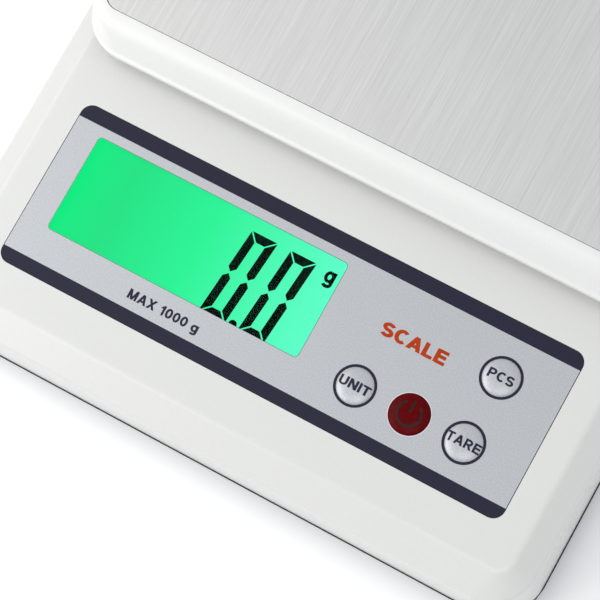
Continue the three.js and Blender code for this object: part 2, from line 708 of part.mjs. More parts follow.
function addDisplay() {
  const left = WINDOW_X - LCD_WIDTH / 2;
  const right = WINDOW_X + LCD_WIDTH / 2;
  const front = WINDOW_Y - LCD_DEPTH / 2;
  const rear = WINDOW_Y + LCD_DEPTH / 2;
  const lensTop = RECESS_Z - SEAT_GAP / 2;
  piece(
    "display_window",
    "lens_clear",
    roundedSlab(
      WINDOW_WIDTH + 2 * LENS_OVERLAP,
      WINDOW_DEPTH + 2 * LENS_OVERLAP,
      WINDOW_CORNER_R,
      CEILING_Z + LENS_LIFT,
      lensTop,
      WINDOW_X,
      WINDOW_Y,
    ),
  );
  piece("lcd_glass", "lcd_green", box(left, right, front, rear, LCD_BOTTOM_Z, LCD_TOP_Z));
  const frameTop = CEILING_Z - LAYER_GAP;
  const wall = FRAME_WALL + FIT_GAP;
  const frame = cut(
    solid(box(left - wall, right + wall, front - wall, rear + wall, BOARD_TOP_Z + LAYER_GAP, frameTop)),
    [
      box(
        left - FIT_GAP,
        right + FIT_GAP,
        front - FIT_GAP,
        rear + FIT_GAP,
        BOARD_TOP_Z,
        LCD_TOP_Z + SEAT_GAP,
      ),
      roundedSlab(
        WINDOW_WIDTH + 2 * FIT_GAP,
        WINDOW_DEPTH + 2 * FIT_GAP,
        WINDOW_CORNER_R,
        LCD_TOP_Z,
        frameTop + 1,
        WINDOW_X,
        WINDOW_Y,
      ),
    ],
  );
  piece("lcd_frame", "frame_white", frame);
  const lightRight = right - LED_ROOM;
  piece(
    "backlight_panel",
    "light_guide",
    box(left, lightRight, front, rear - CONNECTOR_ROOM, LIGHT_TOP_Z - LIGHT_THICKNESS, LIGHT_TOP_Z),
  );
  [-1, 1].forEach((side, i) => {
    const y = WINDOW_Y + side * 7;
    piece(
      `backlight_led_${i + 1}`,
      "led_white",
      box(
        lightRight + FIT_GAP,
        right - 0.2,
        y - 2,
        y + 2,
        BOARD_TOP_Z + SEAT_GAP,
        BOARD_TOP_Z + 3,
      ),
    );
  });
  const connectorY = rear - CONNECTOR_ROOM / 2 + 0.5;
  piece(
    "lcd_connector",
    "connector_grey",
    box(
      left + 3,
      right - 3,
      connectorY - CONNECTOR_WIDTH / 2,
      connectorY + CONNECTOR_WIDTH / 2,
      BOARD_TOP_Z + SEAT_GAP,
      LCD_BOTTOM_Z - SEAT_GAP,
    ),
  );
}

function addBoard() {
  const board = cut(
    solid(
      roundedSlab(
        BOARD_WIDTH,
        BOARD_DEPTH,
        1.5,
        BOARD_BOTTOM_Z,
        BOARD_TOP_Z,
        0,
        PANEL_MID_Y,
      ),
    ),
    boardPlaces.map((p) =>
      post(BOARD_SCREW.shaftR + SCREW_GAP, BOARD_BOTTOM_Z - 1, BOARD_TOP_Z + 1, p.x, p.y),
    ),
  );
  piece("main_board", "board_green", board);
  const chip = [
    [0, -1.35],
    [3.5, -1.2],
    [6, -0.6],
    [7, 0],
    [0, 0],
  ];
  piece(
    "controller_chip",
    "chip_black",
    turned(chip, 30, PANEL_MID_Y).translate(0, 0, BOARD_BOTTOM_Z - SEAT_GAP),
  );
  boardPlaces.forEach((p) => {
    piece(
      `board_screw_${p.name}`,
      "screw_steel",
      screw(BOARD_SCREW, p.x, p.y, BOARD_BOTTOM_Z - SEAT_GAP),
    );
  });
}

// ---- Keys ----

function keyCap(radius) {
  const flangeTop = CEILING_Z - FIT_GAP;
  const flangeBottom = flangeTop - KEY_FLANGE_THICKNESS;
  const stemBottom = BOARD_TOP_Z + SEAT_GAP + SWITCH_HEIGHT + PLUNGER_PROUD + SEAT_GAP;
  const profile = [
    [0, stemBottom],
    [STEM_R, stemBottom],
    [STEM_R, flangeBottom],
    [radius + KEY_FLANGE, flangeBottom],
    [radius + KEY_FLANGE, flangeTop],
    [radius, flangeTop],
  ];
  const domeSteps = 3;
  for (let i = 0; i <= domeSteps; i++) {
    const a = (i / domeSteps) * (Math.PI / 2);
    profile.push([radius * Math.cos(a), PANEL_TOP_Z + 0.1 + KEY_DOME * Math.sin(a)]);
  }
  profile[profile.length - 1][0] = 0;
  return profile;
}

function addKeys() {
  for (const key of keyPlaces) {
    piece(`${key.name}_button`, key.finish, turned(keyCap(key.radius), key.x, key.y, SEEN_SIDES));
    const bodyBottom = BOARD_TOP_Z + SEAT_GAP;
    const bodyTop = bodyBottom + SWITCH_HEIGHT;
    const half = SWITCH_SIZE / 2;
    const body = solid(
      box(key.x - half, key.x + half, key.y - half, key.y + half, bodyBottom, bodyTop),
    );
    const boreDepth = PLUNGER_INSIDE + KEY_TRAVEL + LAYER_GAP;
    const bore = post(PLUNGER_R + SCREW_GAP, bodyTop - boreDepth, bodyTop + 1, key.x, key.y);
    piece(`${key.name}_switch`, "switch_black", cut(body, [bore]));
    piece(
      `${key.name}_switch_plunger`,
      "plunger_grey",
      post(PLUNGER_R, bodyTop - PLUNGER_INSIDE, bodyTop + PLUNGER_PROUD, key.x, key.y),
    );
  }
}

// ---- Load cell and weighing pan ----

function cellSeat() {
  const half = CELL_SIZE / 2 + 1.5;
  const left = -CELL_LENGTH / 2 - 1.5;
  return box(left, left + CELL_PAD + 3, PAN_Y - half, PAN_Y + half, FLOOR_Z - 1, FLOOR_Z + SEAT_RISE);
}

function cellSeatOpenings() {
  return [CELL_SCREW_OUT, CELL_SCREW_IN].flatMap((x) => [
    post(BEAM_BASE_SCREW.headR + HEAD_GAP, BASE_BOTTOM_Z - 1, BASE_BOTTOM_Z + BEAM_SCREW_SINK, -x, PAN_Y),
    post(BEAM_BASE_SCREW.shaftR + SCREW_GAP, BASE_BOTTOM_Z, FLOOR_Z + SEAT_RISE + 1, -x, PAN_Y),
  ]);
}

// The bending beam: two overlapping round windows thin its top and bottom at the strain gauges.
function loadCell() {
  const across = PAN_Y - CELL_SIZE / 2 - 1;
  const middle = CELL_BOTTOM_Z + CELL_SIZE / 2;
  const windows = [-8, 0, 8].map((x) =>
    new THREE.CylinderGeometry(x ? 5.2 : 3.4, x ? 5.2 : 3.4, CELL_SIZE + 2, 14).translate(
      x,
      across + CELL_SIZE / 2 + 1,
      middle,
    ),
  );
  const slot = box(-8, 8, across, across + CELL_SIZE + 2, middle - 2, middle + 2);
  const bores = [CELL_SCREW_OUT, CELL_SCREW_IN].flatMap((x) => [
    post(BEAM_BASE_SCREW.shaftR + SCREW_GAP, CELL_BOTTOM_Z - 1, CELL_BOTTOM_Z + BEAM_BORE, -x, PAN_Y),
    post(BEAM_TOP_SCREW.shaftR + SCREW_GAP, CELL_TOP_Z - BEAM_BORE, CELL_TOP_Z + 1, x, PAN_Y),
  ]);
  const beam = box(
    -CELL_LENGTH / 2,
    CELL_LENGTH / 2,
    PAN_Y - CELL_SIZE / 2,
    PAN_Y + CELL_SIZE / 2,
    CELL_BOTTOM_Z,
    CELL_TOP_Z,
  );
  return cut(solid(beam), [...windows, slot, ...bores]);
}

function padUnderEnd(z0, z1, side) {
  const out = (side * CELL_LENGTH) / 2;
  const inner = out - side * CELL_PAD;
  const half = CELL_SIZE / 2;
  return box(Math.min(out, inner), Math.max(out, inner), PAN_Y - half, PAN_Y + half, z0, z1);
}

// The cross that spreads the pan's weight from four posts to the beam's free end.
function panCarrier() {
  const length = POST_PITCH * Math.SQRT2 + CARRIER_ARM;
  const arms = [-1, 1].map((side) =>
    new THREE.BoxGeometry(length, CARRIER_ARM, CARRIER_THICKNESS)
      .rotateZ((side * Math.PI) / 4)
      .translate(0, PAN_Y, (CARRIER_BOTTOM_Z + CARRIER_TOP_Z) / 2),
  );
  const half = CELL_SIZE / 2 + 4;
  const bridge = box(
    -CELL_SCREW_IN,
    CELL_LENGTH / 2,
    PAN_Y - half,
    PAN_Y + half,
    CARRIER_BOTTOM_Z,
    CARRIER_TOP_Z,
  );
  const pad = padUnderEnd(CELL_TOP_Z + SEAT_GAP, CARRIER_TOP_Z, 1);
  const holes = [
    ...postPlaces.map((p) =>
      post(TRAY_SCREW.shaftR + SCREW_GAP, CARRIER_BOTTOM_Z - 1, CARRIER_TOP_Z + 1, p.x, p.y),
    ),
    ...[CELL_SCREW_OUT, CELL_SCREW_IN].map((x) =>
      post(BEAM_TOP_SCREW.shaftR + SCREW_GAP, CELL_TOP_Z - 1, CARRIER_TOP_Z + 1, x, PAN_Y),
    ),
  ];
  return cut(join(solid(arms[0]), [arms[1], bridge, pad]), holes);
}

function panTray() {
  const rimWidth = PLATE_WIDTH + 2 * FIT_GAP + 2 * RIM_LAND;
  const rimDepth = PLATE_DEPTH + 2 * FIT_GAP + 2 * RIM_LAND;
  const whole = { width: PAN_WIDTH, depth: PAN_DEPTH, radius: PAN_CORNER_R };
  const outer = loft(
    [
      { z: PAN_BOTTOM_Z, ...whole },
      { z: PAN_BOTTOM_Z + PAN_LIP, ...whole },
      { z: PAN_TOP_Z, width: rimWidth, depth: rimDepth, radius: PLATE_CORNER_R + RIM_LAND },
    ],
    0,
    PAN_Y,
  );
  const plateFloorZ = PAN_TOP_Z - PLATE_SINK - PLATE_THICKNESS - SEAT_GAP;
  const ceiling = plateFloorZ - PAN_WALL;
  const inside = {
    width: PAN_WIDTH - 2 * PAN_WALL,
    depth: PAN_DEPTH - 2 * PAN_WALL,
    radius: PAN_CORNER_R - PAN_WALL,
  };
  const hollow = loft(
    [
      { z: PAN_BOTTOM_Z - 1, ...inside },
      { z: PAN_BOTTOM_Z + 0.6, ...inside },
      {
        z: ceiling,
        width: rimWidth - 2 * PAN_WALL,
        depth: rimDepth - 2 * PAN_WALL,
        radius: PLATE_CORNER_R,
      },
    ],
    0,
    PAN_Y,
  );
  const plateSeat = roundedSlab(
    PLATE_WIDTH + 2 * FIT_GAP,
    PLATE_DEPTH + 2 * FIT_GAP,
    PLATE_CORNER_R + FIT_GAP,
    plateFloorZ,
    PAN_TOP_Z + 1,
    0,
    PAN_Y,
  );
  const posts = postPlaces.map((p) => post(POST_R, CARRIER_TOP_Z + SEAT_GAP, ceiling + 1, p.x, p.y));
  const ribs = [-1, 1].flatMap((side) => [
    box(
      (side * POST_PITCH) / 2 - 0.75,
      (side * POST_PITCH) / 2 + 0.75,
      PAN_Y - rimDepth / 2 + PAN_WALL,
      PAN_Y + rimDepth / 2 - PAN_WALL,
      PAN_BOTTOM_Z + 0.8,
      ceiling + 1,
    ),
    box(
      -rimWidth / 2 + PAN_WALL,
      rimWidth / 2 - PAN_WALL,
      PAN_Y + (side * POST_PITCH) / 2 - 0.75,
      PAN_Y + (side * POST_PITCH) / 2 + 0.75,
      PAN_BOTTOM_Z + 0.8,
      ceiling + 1,
    ),
  ]);
  const pilots = postPlaces.map((p) =>
    post(TRAY_SCREW.shaftR + SCREW_GAP, CARRIER_TOP_Z - 1, ceiling - 1, p.x, p.y),
  );
  return cut(join(cut(solid(outer), [hollow]), [...posts, ...ribs]), [plateSeat, ...pilots]);
}

function addWeighingPan() {
  const plateBottom = PAN_TOP_Z - PLATE_SINK - PLATE_THICKNESS;
  piece("pan_tray", "tray_white", panTray());
  piece(
    "pan_plate",
    "plate_steel",
    roundedSlab(
      PLATE_WIDTH,
      PLATE_DEPTH,
      PLATE_CORNER_R,
      plateBottom,
      plateBottom + PLATE_THICKNESS,
      0,
      PAN_Y,
    ),
  );
  piece("pan_carrier", "carrier_aluminium", panCarrier());
  for (const p of postPlaces) {
    piece(
      `tray_screw_${p.name}`,
      "screw_steel",
      screw(TRAY_SCREW, p.x, p.y, CARRIER_BOTTOM_Z - SEAT_GAP),
    );
  }
}

function addLoadCell() {
  piece("load_cell", "beam_aluminium", loadCell());
  const spacer = cut(
    solid(padUnderEnd(FLOOR_Z + SEAT_RISE + SEAT_GAP, CELL_BOTTOM_Z - SEAT_GAP, -1)),
    [CELL_SCREW_OUT, CELL_SCREW_IN].map((x) =>
      post(BEAM_BASE_SCREW.shaftR + SCREW_GAP, FLOOR_Z, CELL_BOTTOM_Z + 1, -x, PAN_Y),
    ),
  );
  piece("load_cell_base", "beam_aluminium", spacer);
  [CELL_SCREW_OUT, CELL_SCREW_IN].forEach((x, i) => {
    piece(
      `load_cell_base_screw_${i + 1}`,
      "screw_steel",
      screw(BEAM_BASE_SCREW, -x, PAN_Y, BASE_BOTTOM_Z + BEAM_SCREW_SINK - SEAT_GAP),
    );
    piece(
      `load_cell_top_screw_${i + 1}`,
      "screw_steel",
      screw(BEAM_TOP_SCREW, x, PAN_Y, CARRIER_TOP_Z + SEAT_GAP, -1),
    );
  });
}

// ---- Feet, casing screws and internal leads ----

function addFeet() {
  const top = BASE_BOTTOM_Z + FOOT_SINK - SEAT_GAP;
  const profile = [
    [0, 0],
    [FOOT_R - 1, 0],
    [FOOT_R, 0.6],
    [FOOT_R, top],
    [0, top],
  ];
  for (const p of footPlaces) {
    piece(`foot_${p.name}`, "foot_rubber", turned(profile, p.x, p.y, SEEN_SIDES));
  }
}

function addCasingScrews() {
  for (const p of screwPlaces) {
    piece(
      `casing_screw_${p.name}`,
      "screw_steel",
      screw(CASING_SCREW, p.x, p.y, TOWER_TOP_Z - TOWER_ROOF - SEAT_GAP),
    );
  }
}

function lead(points, radius, steps) {
  const curve = new THREE.CatmullRomCurve3(points.map((p) => new THREE.Vector3(...p)));
  return new THREE.ExtrudeGeometry(roundSection(radius, LEAD_SIDES), {
    steps,
    bevelEnabled: false,
    extrudePath: curve,
  });
}

// Both battery leads run forward along the floor, outside the pan's posts, and up to the board.
function addLeads() {
  const tabZ = BAY_TOP_Z + BAY_WALL + 1;
  const boardEnd = BOARD_BOTTOM_Z - FIT_GAP;
  const boardRear = PANEL_MID_Y + BOARD_DEPTH / 2;
  const floorRun = FLOOR_Z + LEAD_RISE;
  const boardEndX = BOARD_WIDTH / 2 - LEAD_END_IN;
  const bayEndX = bayX(1, BAY_WALL);
  [-1, 1].forEach((side) => {
    const y = BAY_Y + side * BATTERY_PITCH;
    const start = bayX(side, FIT_GAP);
    const route = [
      [start, y, tabZ],
      [start + side * 4, y, tabZ],
      [side * (bayEndX + 18), y - 4, (tabZ + floorRun) / 2],
      [side * FOOT_X, y - 16, floorRun],
      [side * FOOT_X, y - 16 - LEAD_EASE, floorRun],
      [side * FOOT_X, boardRear + 12 + LEAD_EASE, floorRun],
      [side * (FOOT_X + boardEndX) / 2, boardRear + 12, floorRun],
      [side * boardEndX, boardRear - 2, boardEnd - 4],
      [side * boardEndX, boardRear - 3, boardEnd],
    ];
    const name = side < 0 ? "battery_lead_positive" : "battery_lead_negative";
    piece(name, side < 0 ? "lead_red" : "lead_black", lead(route, BATTERY_LEAD_R, 24));
  });
  const cellSide = PAN_Y - CELL_SIZE / 2 - FIT_GAP;
  const cable = [
    [-28, cellSide, CELL_BOTTOM_Z + 5],
    [-28, cellSide - 5, CELL_BOTTOM_Z + 4],
    [-24, cellSide - 18, floorRun],
    [-22, cellSide - 18 - LEAD_EASE, floorRun],
    [8, boardRear + 12 + LEAD_EASE, floorRun],
    [10, boardRear + 12, floorRun],
    [10, boardRear - 2, boardEnd - 4],
    [10, boardRear - 3, boardEnd],
  ];
  piece("load_cell_cable", "cable_grey", lead(cable, CELL_CABLE_R, 22));
}

piece("upper_casing", "casing_white", upperCasing());
piece("lower_casing", "base_dark", lowerCasing());
piece("control_panel", "film_silver", panelFilm());
addDisplay();
addBoard();
addKeys();
addWeighingPan();
addLoadCell();
addBatteryBay();
addFeet();
addCasingScrews();
addLeads();

export default scale;
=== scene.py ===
from math import atan2, cos, hypot, pi, radians, sin

import bmesh
import bpy
from mathutils import Matrix, Vector


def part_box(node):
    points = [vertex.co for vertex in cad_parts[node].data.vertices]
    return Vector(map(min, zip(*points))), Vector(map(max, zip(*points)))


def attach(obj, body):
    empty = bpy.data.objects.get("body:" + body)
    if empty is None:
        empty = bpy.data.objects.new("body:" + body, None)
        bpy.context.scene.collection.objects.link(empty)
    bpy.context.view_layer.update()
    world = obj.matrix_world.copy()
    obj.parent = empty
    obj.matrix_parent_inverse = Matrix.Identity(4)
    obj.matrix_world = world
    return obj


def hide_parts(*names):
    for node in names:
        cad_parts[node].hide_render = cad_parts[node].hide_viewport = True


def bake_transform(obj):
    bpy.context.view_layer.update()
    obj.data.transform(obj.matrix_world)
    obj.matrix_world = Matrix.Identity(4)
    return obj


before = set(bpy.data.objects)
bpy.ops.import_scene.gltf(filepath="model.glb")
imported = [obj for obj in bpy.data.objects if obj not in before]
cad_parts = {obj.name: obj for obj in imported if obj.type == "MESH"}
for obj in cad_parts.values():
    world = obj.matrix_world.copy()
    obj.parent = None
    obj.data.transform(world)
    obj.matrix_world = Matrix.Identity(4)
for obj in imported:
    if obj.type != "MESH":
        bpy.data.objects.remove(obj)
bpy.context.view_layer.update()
scene = bpy.context.scene


# ---- Camera ----
# It stands close above the scale's front right and looks down on the panel and the front of the pan,
# turned so that the scale lies across the picture.

camera_place = Vector((0.1403, -0.1699, 0.6295))
camera_aim = Vector((0.0021, -0.0749, 0.028))
camera_roll = radians(29.385)
back = (camera_place - camera_aim).normalized()
level = Vector((0, 1, 0)).cross(back).normalized()
right = Matrix.Rotation(camera_roll, 3, back) @ level
camera = bpy.data.objects.new("camera", bpy.data.cameras.new("camera"))
camera.data.lens = 157.4
camera.data.sensor_width = 36
camera.data.clip_start = 0.01
camera.matrix_world = Matrix.Translation(camera_place) @ Matrix(
    (right, back.cross(right), back)
).transposed().to_4x4()
scene.collection.objects.link(camera)
scene.camera = camera


# ---- Studio ----
# A pale floor, two softboxes at the left and front left, a third high at the front, and an even pale surround
# that gives most of the light. Colours are shown as they are, without a film curve.

scene.view_settings.view_transform = "Standard"


def softbox(name, place, aim, size, power, tint):
    lamp = bpy.data.lights.new(name, "AREA")
    lamp.shape = "SQUARE"
    lamp.size = size
    lamp.energy = power
    lamp.color = tint
    box = bpy.data.objects.new(name, lamp)
    box.matrix_world = Matrix.Translation(place) @ (
        (Vector(place) - Vector(aim)).to_track_quat("Z", "Y").to_matrix().to_4x4()
    )
    scene.collection.objects.link(box)


softbox("left_softbox", (-0.42, -0.08, 0.42), (0, -0.03, 0), 0.45, 0.9, (1, 0.985, 0.955))
softbox("front_left_softbox", (-0.44, -0.5, 0.55), (0, -0.03, 0), 0.5, 1.65, (1, 0.985, 0.955))
softbox("high_softbox", (0.25, -0.5, 1.2), (0, -0.03, 0), 0.7, 2.2, (1, 0.985, 0.955))
surround = bpy.data.worlds.new("surround")
surround.use_nodes = True
surround.node_tree.nodes["Background"].inputs["Color"].default_value = (0.945, 0.97, 1, 1)
surround.node_tree.nodes["Background"].inputs["Strength"].default_value = 0.83
scene.world = surround

floor_mesh = bmesh.new()
bmesh.ops.create_grid(
    floor_mesh, x_segments=1, y_segments=1, size=2, matrix=Matrix.Translation((0, 0, -0.0002))
)
floor = bpy.data.objects.new("floor", bpy.data.meshes.new("floor"))
floor_mesh.to_mesh(floor.data)
floor_mesh.free()
scene.collection.objects.link(floor)
paper = bpy.data.materials.new("floor_paper")
paper.use_nodes = True
paper.node_tree.nodes["Principled BSDF"].inputs["Base Color"].default_value = (0.98, 0.98, 0.985, 1)
paper.node_tree.nodes["Principled BSDF"].inputs["Roughness"].default_value = 0.9
paper.node_tree.nodes["Principled BSDF"].inputs["Specular IOR Level"].default_value = 0.1
floor.data.materials.append(paper)


# ---- Upper casing ----
# The white moulded shell: a flat top in a sloped band, upright walls, a shallow recess for the control panel
# with the holes under it, and four holes for the pan's posts. Injection moulded in glossy plastic.


def shown_colour(r, g, b):
    """A colour given as it looks on a screen, 0 to 255, as the shader's own linear colour."""
    linear = [c / 255 / 12.92 if c < 11 else ((c / 255 + 0.055) / 1.055) ** 2.4 for c in (r, g, b)]
    return (*linear, 1)


def finish(name, dark, light, rough, repeats, depth=0.0, metallic=0.0, detail=2.0, shine=0.5):
    """A finish whose colour and roughness wander between two values. Repeats are per metre along X, Y and Z."""
    material = bpy.data.materials.new(name)
    material.use_nodes = True
    nodes, links = material.node_tree.nodes, material.node_tree.links
    shader = nodes["Principled BSDF"]
    shader.inputs["Metallic"].default_value = metallic
    shader.inputs["Specular IOR Level"].default_value = shine
    place = nodes.new("ShaderNodeTexCoord")
    mapping = nodes.new("ShaderNodeMapping")
    mapping.inputs["Scale"].default_value = repeats
    noise = nodes.new("ShaderNodeTexNoise")
    noise.inputs["Scale"].default_value = 1
    noise.inputs["Detail"].default_value = detail
    links.new(place.outputs["Object"], mapping.inputs["Vector"])
    links.new(mapping.outputs["Vector"], noise.inputs["Vector"])
    ramp = nodes.new("ShaderNodeValToRGB")
    ramp.color_ramp.elements[0].position = 0.3
    ramp.color_ramp.elements[0].color = dark
    ramp.color_ramp.elements[1].position = 0.7
    ramp.color_ramp.elements[1].color = light
    links.new(noise.outputs["Fac"], ramp.inputs["Fac"])
    links.new(ramp.outputs["Color"], shader.inputs["Base Color"])
    gloss = nodes.new("ShaderNodeMapRange")
    gloss.inputs["To Min"].default_value = rough[0]
    gloss.inputs["To Max"].default_value = rough[1]
    links.new(noise.outputs["Fac"], gloss.inputs["Value"])
    links.new(gloss.outputs["Result"], shader.inputs["Roughness"])
    if depth:
        bump = nodes.new("ShaderNodeBump")
        bump.inputs["Strength"].default_value = 1
        bump.inputs["Distance"].default_value = depth
        links.new(noise.outputs["Fac"], bump.inputs["Height"])
        links.new(bump.outputs["Normal"], shader.inputs["Normal"])
    return material


def piece(name, bm, *materials, smooth=35):
    """The finished mesh as a named object: faces out, edges sharp past an angle in degrees, flat faces flat."""
    bmesh.ops.remove_doubles(bm, verts=bm.verts, dist=1e-7)
    bmesh.ops.recalc_face_normals(bm, faces=bm.faces)
    for face in bm.faces:
        face.smooth = True
    mesh = bpy.data.meshes.new(name)
    bm.to_mesh(mesh)
    bm.free()
    mesh.set_sharp_from_angle(angle=radians(smooth))
    for material in materials:
        mesh.materials.append(material)
    made = bpy.data.objects.new(name, mesh)
    scene.collection.objects.link(made)
    flats = made.modifiers.new("flat_faces", "WEIGHTED_NORMAL")
    flats.keep_sharp = True
    flats.weight = 90
    return made


def rounded_loop(bm, width, depth, radius, place, steps=12):
    """Edges of a rounded rectangle lying flat with its middle at place."""
    before = set(bm.edges)
    corners = bmesh.ops.create_grid(
        bm,
        x_segments=1,
        y_segments=1,
        size=0.5,
        matrix=Matrix.Translation(place) @ Matrix.Diagonal((width, depth, 1, 1)),
    )["verts"]
    bmesh.ops.bevel(
        bm,
        geom=corners,
        offset=radius,
        offset_type="OFFSET",
        segments=steps,
        profile=0.5,
        affect="VERTICES",
        material=-1,
    )
    loop = [edge for edge in bm.edges if edge not in before]
    bmesh.ops.delete(bm, geom=list({f for e in loop for f in e.link_faces}), context="FACES_ONLY")
    return loop


def round_loop(bm, radius, place, steps=48):
    """Edges of a circle lying flat with its middle at place."""
    verts = bmesh.ops.create_circle(
        bm, cap_ends=False, radius=radius, segments=steps, matrix=Matrix.Translation(place)
    )["verts"]
    return list({edge for vert in verts for edge in vert.link_edges})


def ring_order(loop):
    """The corners of a loop in order round its middle, counted from just under the +X side."""
    verts = list({vert for edge in loop for vert in edge.verts})
    middle = sum((vert.co for vert in verts), Vector()) / len(verts)
    just_under = 0.01
    return sorted(
        verts,
        key=lambda v: (atan2(v.co.y - middle.y, v.co.x - middle.x) + just_under) % (2 * pi),
    )


def wall(bm, low, high):
    """Walls from one loop to another, corner to corner, which holds for loops that lie level too."""
    low, high = ring_order(low), ring_order(high)
    assert len(low) == len(high)
    return [
        bm.faces.new((low[i - 1], low[i], high[i], high[i - 1])) for i in range(len(low))
    ]


def skin(bm, loops):
    """Walls from each loop to the next."""
    for low, high in zip(loops, loops[1:]):
        wall(bm, low, high)
    return loops


def sink(bm, loop, height):
    """Walls from a loop straight to another height. Returns the loop there."""
    made = bmesh.ops.extrude_edge_only(bm, edges=loop)["geom"]
    verts = {item for item in made if isinstance(item, bmesh.types.BMVert)}
    for vert in verts:
        vert.co.z = height
    return [e for e in made if isinstance(e, bmesh.types.BMEdge) and verts.issuperset(e.verts)]


def fill(bm, *loops):
    """A flat sheet inside the first loop, with the other loops as its holes."""
    edges = [edge for loop in loops for edge in loop]
    made = bmesh.ops.triangle_fill(bm, use_beauty=True, use_dissolve=False, edges=edges)["geom"]
    return [item for item in made if isinstance(item, bmesh.types.BMFace)]


def soften(bm, edges, width, steps=3):
    bmesh.ops.recalc_face_normals(bm, faces=bm.faces)
    bmesh.ops.bevel(
        bm,
        geom=edges,
        offset=width,
        offset_type="OFFSET",
        segments=steps,
        profile=0.5,
        affect="EDGES",
        material=-1,
    )


case_low, case_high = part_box("upper_casing")
wall_draft = 0.0006
wall_foot = 0.0005
case_width = case_high.x - case_low.x - 2 * wall_draft
case_depth = case_high.y - case_low.y - 2 * wall_draft
case_top = case_high.z
case_wall = 0.0022
case_corner = 0.012
band_height = 0.004
band_side = 0.0058
band_end = 0.0078
flat_corner = 0.0046
ceiling = case_top - case_wall
edge_radius = 0.0008
film_low, film_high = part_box("control_panel")
film_middle = (film_low + film_high) / 2
film_size = film_high - film_low
film_corner = 0.003
film_gap = 0.0001
recess_floor = film_low.z - 0.00005
lens_low, lens_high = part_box("display_window")
lens_gap = 0.0003
window_corner = 0.001
lens_middle = (lens_low + lens_high) / 2
lens_size = lens_high - lens_low
key_names = ("unit", "power", "tare", "pcs")
key_boxes = {name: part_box(name + "_button") for name in key_names}
key_flange = 0.0015
key_radius = {
    name: (high.x - low.x) / 2 - key_flange for name, (low, high) in key_boxes.items()
}
key_place = {name: (low + high) / 2 for name, (low, high) in key_boxes.items()}
key_hole_gap = 0.0002
post_hole = 0.0055
post_radius = 0.004
corner_names = ("front_left", "front_right", "rear_left", "rear_right")


def middle_of(node):
    low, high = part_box(node)
    return (low + high) / 2


def case_section(bm, inset, z, radius):
    size = (case_width - 2 * inset, case_depth - 2 * inset)
    return rounded_loop(bm, *size, radius, (0, 0, z))


upper = bmesh.new()
outside = skin(
    upper,
    [
        case_section(upper, -wall_foot, case_low.z, case_corner + wall_foot),
        case_section(upper, 0, case_top - band_height, case_corner),
        rounded_loop(
            upper,
            case_width - 2 * band_side,
            case_depth - 2 * band_end,
            flat_corner,
            (0, 0, case_top),
        ),
        rounded_loop(
            upper,
            case_width - 2 * band_side - 4 * edge_radius,
            case_depth - 2 * band_end - 4 * edge_radius,
            flat_corner - 2 * edge_radius,
            (0, 0, case_top),
        ),
    ],
)
recess = rounded_loop(
    upper,
    film_size.x + 2 * film_gap,
    film_size.y + 2 * film_gap,
    film_corner + film_gap,
    (film_middle.x, film_middle.y, case_top),
)
post_holes = [
    round_loop(upper, post_hole, (middle_of("tray_screw_" + c).x, middle_of("tray_screw_" + c).y, case_top))
    for c in corner_names
]
fill(upper, outside[3], recess, *post_holes)
recess_edge = sink(upper, recess, recess_floor)
under_film = [
    rounded_loop(
        upper,
        lens_size.x + 2 * lens_gap,
        lens_size.y + 2 * lens_gap,
        window_corner + lens_gap,
        (lens_middle.x, lens_middle.y, recess_floor),
    )
] + [
    round_loop(upper, key_radius[n] + key_hole_gap, (key_place[n].x, key_place[n].y, recess_floor))
    for n in key_names
]
fill(upper, recess_edge, *under_film)
through = [sink(upper, loop, ceiling) for loop in post_holes + under_film]
inside = skin(
    upper,
    [
        case_section(upper, case_wall - wall_foot, case_low.z, case_corner + wall_foot - case_wall),
        case_section(upper, case_wall, case_top - band_height - case_wall / 2, case_corner - case_wall),
        rounded_loop(
            upper,
            case_width - 2 * band_side - 1.6 * case_wall,
            case_depth - 2 * band_end - 1.6 * case_wall,
            flat_corner - case_wall / 2,
            (0, 0, ceiling),
        ),
    ],
)
fill(upper, inside[2], *through)
wall(upper, inside[0], outside[0])
soften(upper, outside[1] + outside[2], edge_radius, 5)
boss_bite = 0.0003
for node, radius in [("casing_screw_", 0.0035), ("board_screw_", 0.003)]:
    for corner in corner_names:
        low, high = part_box(node + corner)
        boss_foot = high.z - 0.004
        spot = middle_of(node + corner)
        ring = round_loop(upper, radius, (spot.x, spot.y, ceiling + boss_bite), 32)
        bore = round_loop(upper, radius * 0.5, (spot.x, spot.y, ceiling + boss_bite), 32)
        fill(upper, ring, bore)
        fill(upper, sink(upper, ring, boss_foot), sink(upper, bore, boss_foot))

white_plastic = finish(
    "white_moulded_plastic",
    shown_colour(208, 208, 205),
    shown_colour(210, 210, 207),
    (0.2, 0.26),
    (1400, 1400, 1400),
    0.000001,
)
upper_casing = piece("upper_casing_shell", upper, white_plastic)
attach(upper_casing, "casing")
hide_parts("upper_casing")


# ---- Lower casing ----
# The dark moulded base that shows as a thin line under the white shell, with the screw wells, the battery bay
# and the load cell's seat. Its moulded edges are slightly rounded.


def eased_copy(node, name, width, material, merge=0.00001):
    """The CAD shape as one merged mesh, with its flat faces joined and its sharp edges eased."""
    bm = bmesh.new()
    bm.from_mesh(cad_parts[node].data)
    bmesh.ops.remove_doubles(bm, verts=bm.verts, dist=merge)
    bmesh.ops.dissolve_limit(
        bm,
        angle_limit=radians(1),
        use_dissolve_boundaries=False,
        verts=bm.verts,
        edges=bm.edges,
        delimit=set(),
    )
    sharp = [e for e in bm.edges if len(e.link_faces) == 2 and e.calc_face_angle(0) > radians(40)]
    soften(bm, sharp, width, 2)
    return piece(name, bm, material, smooth=50)


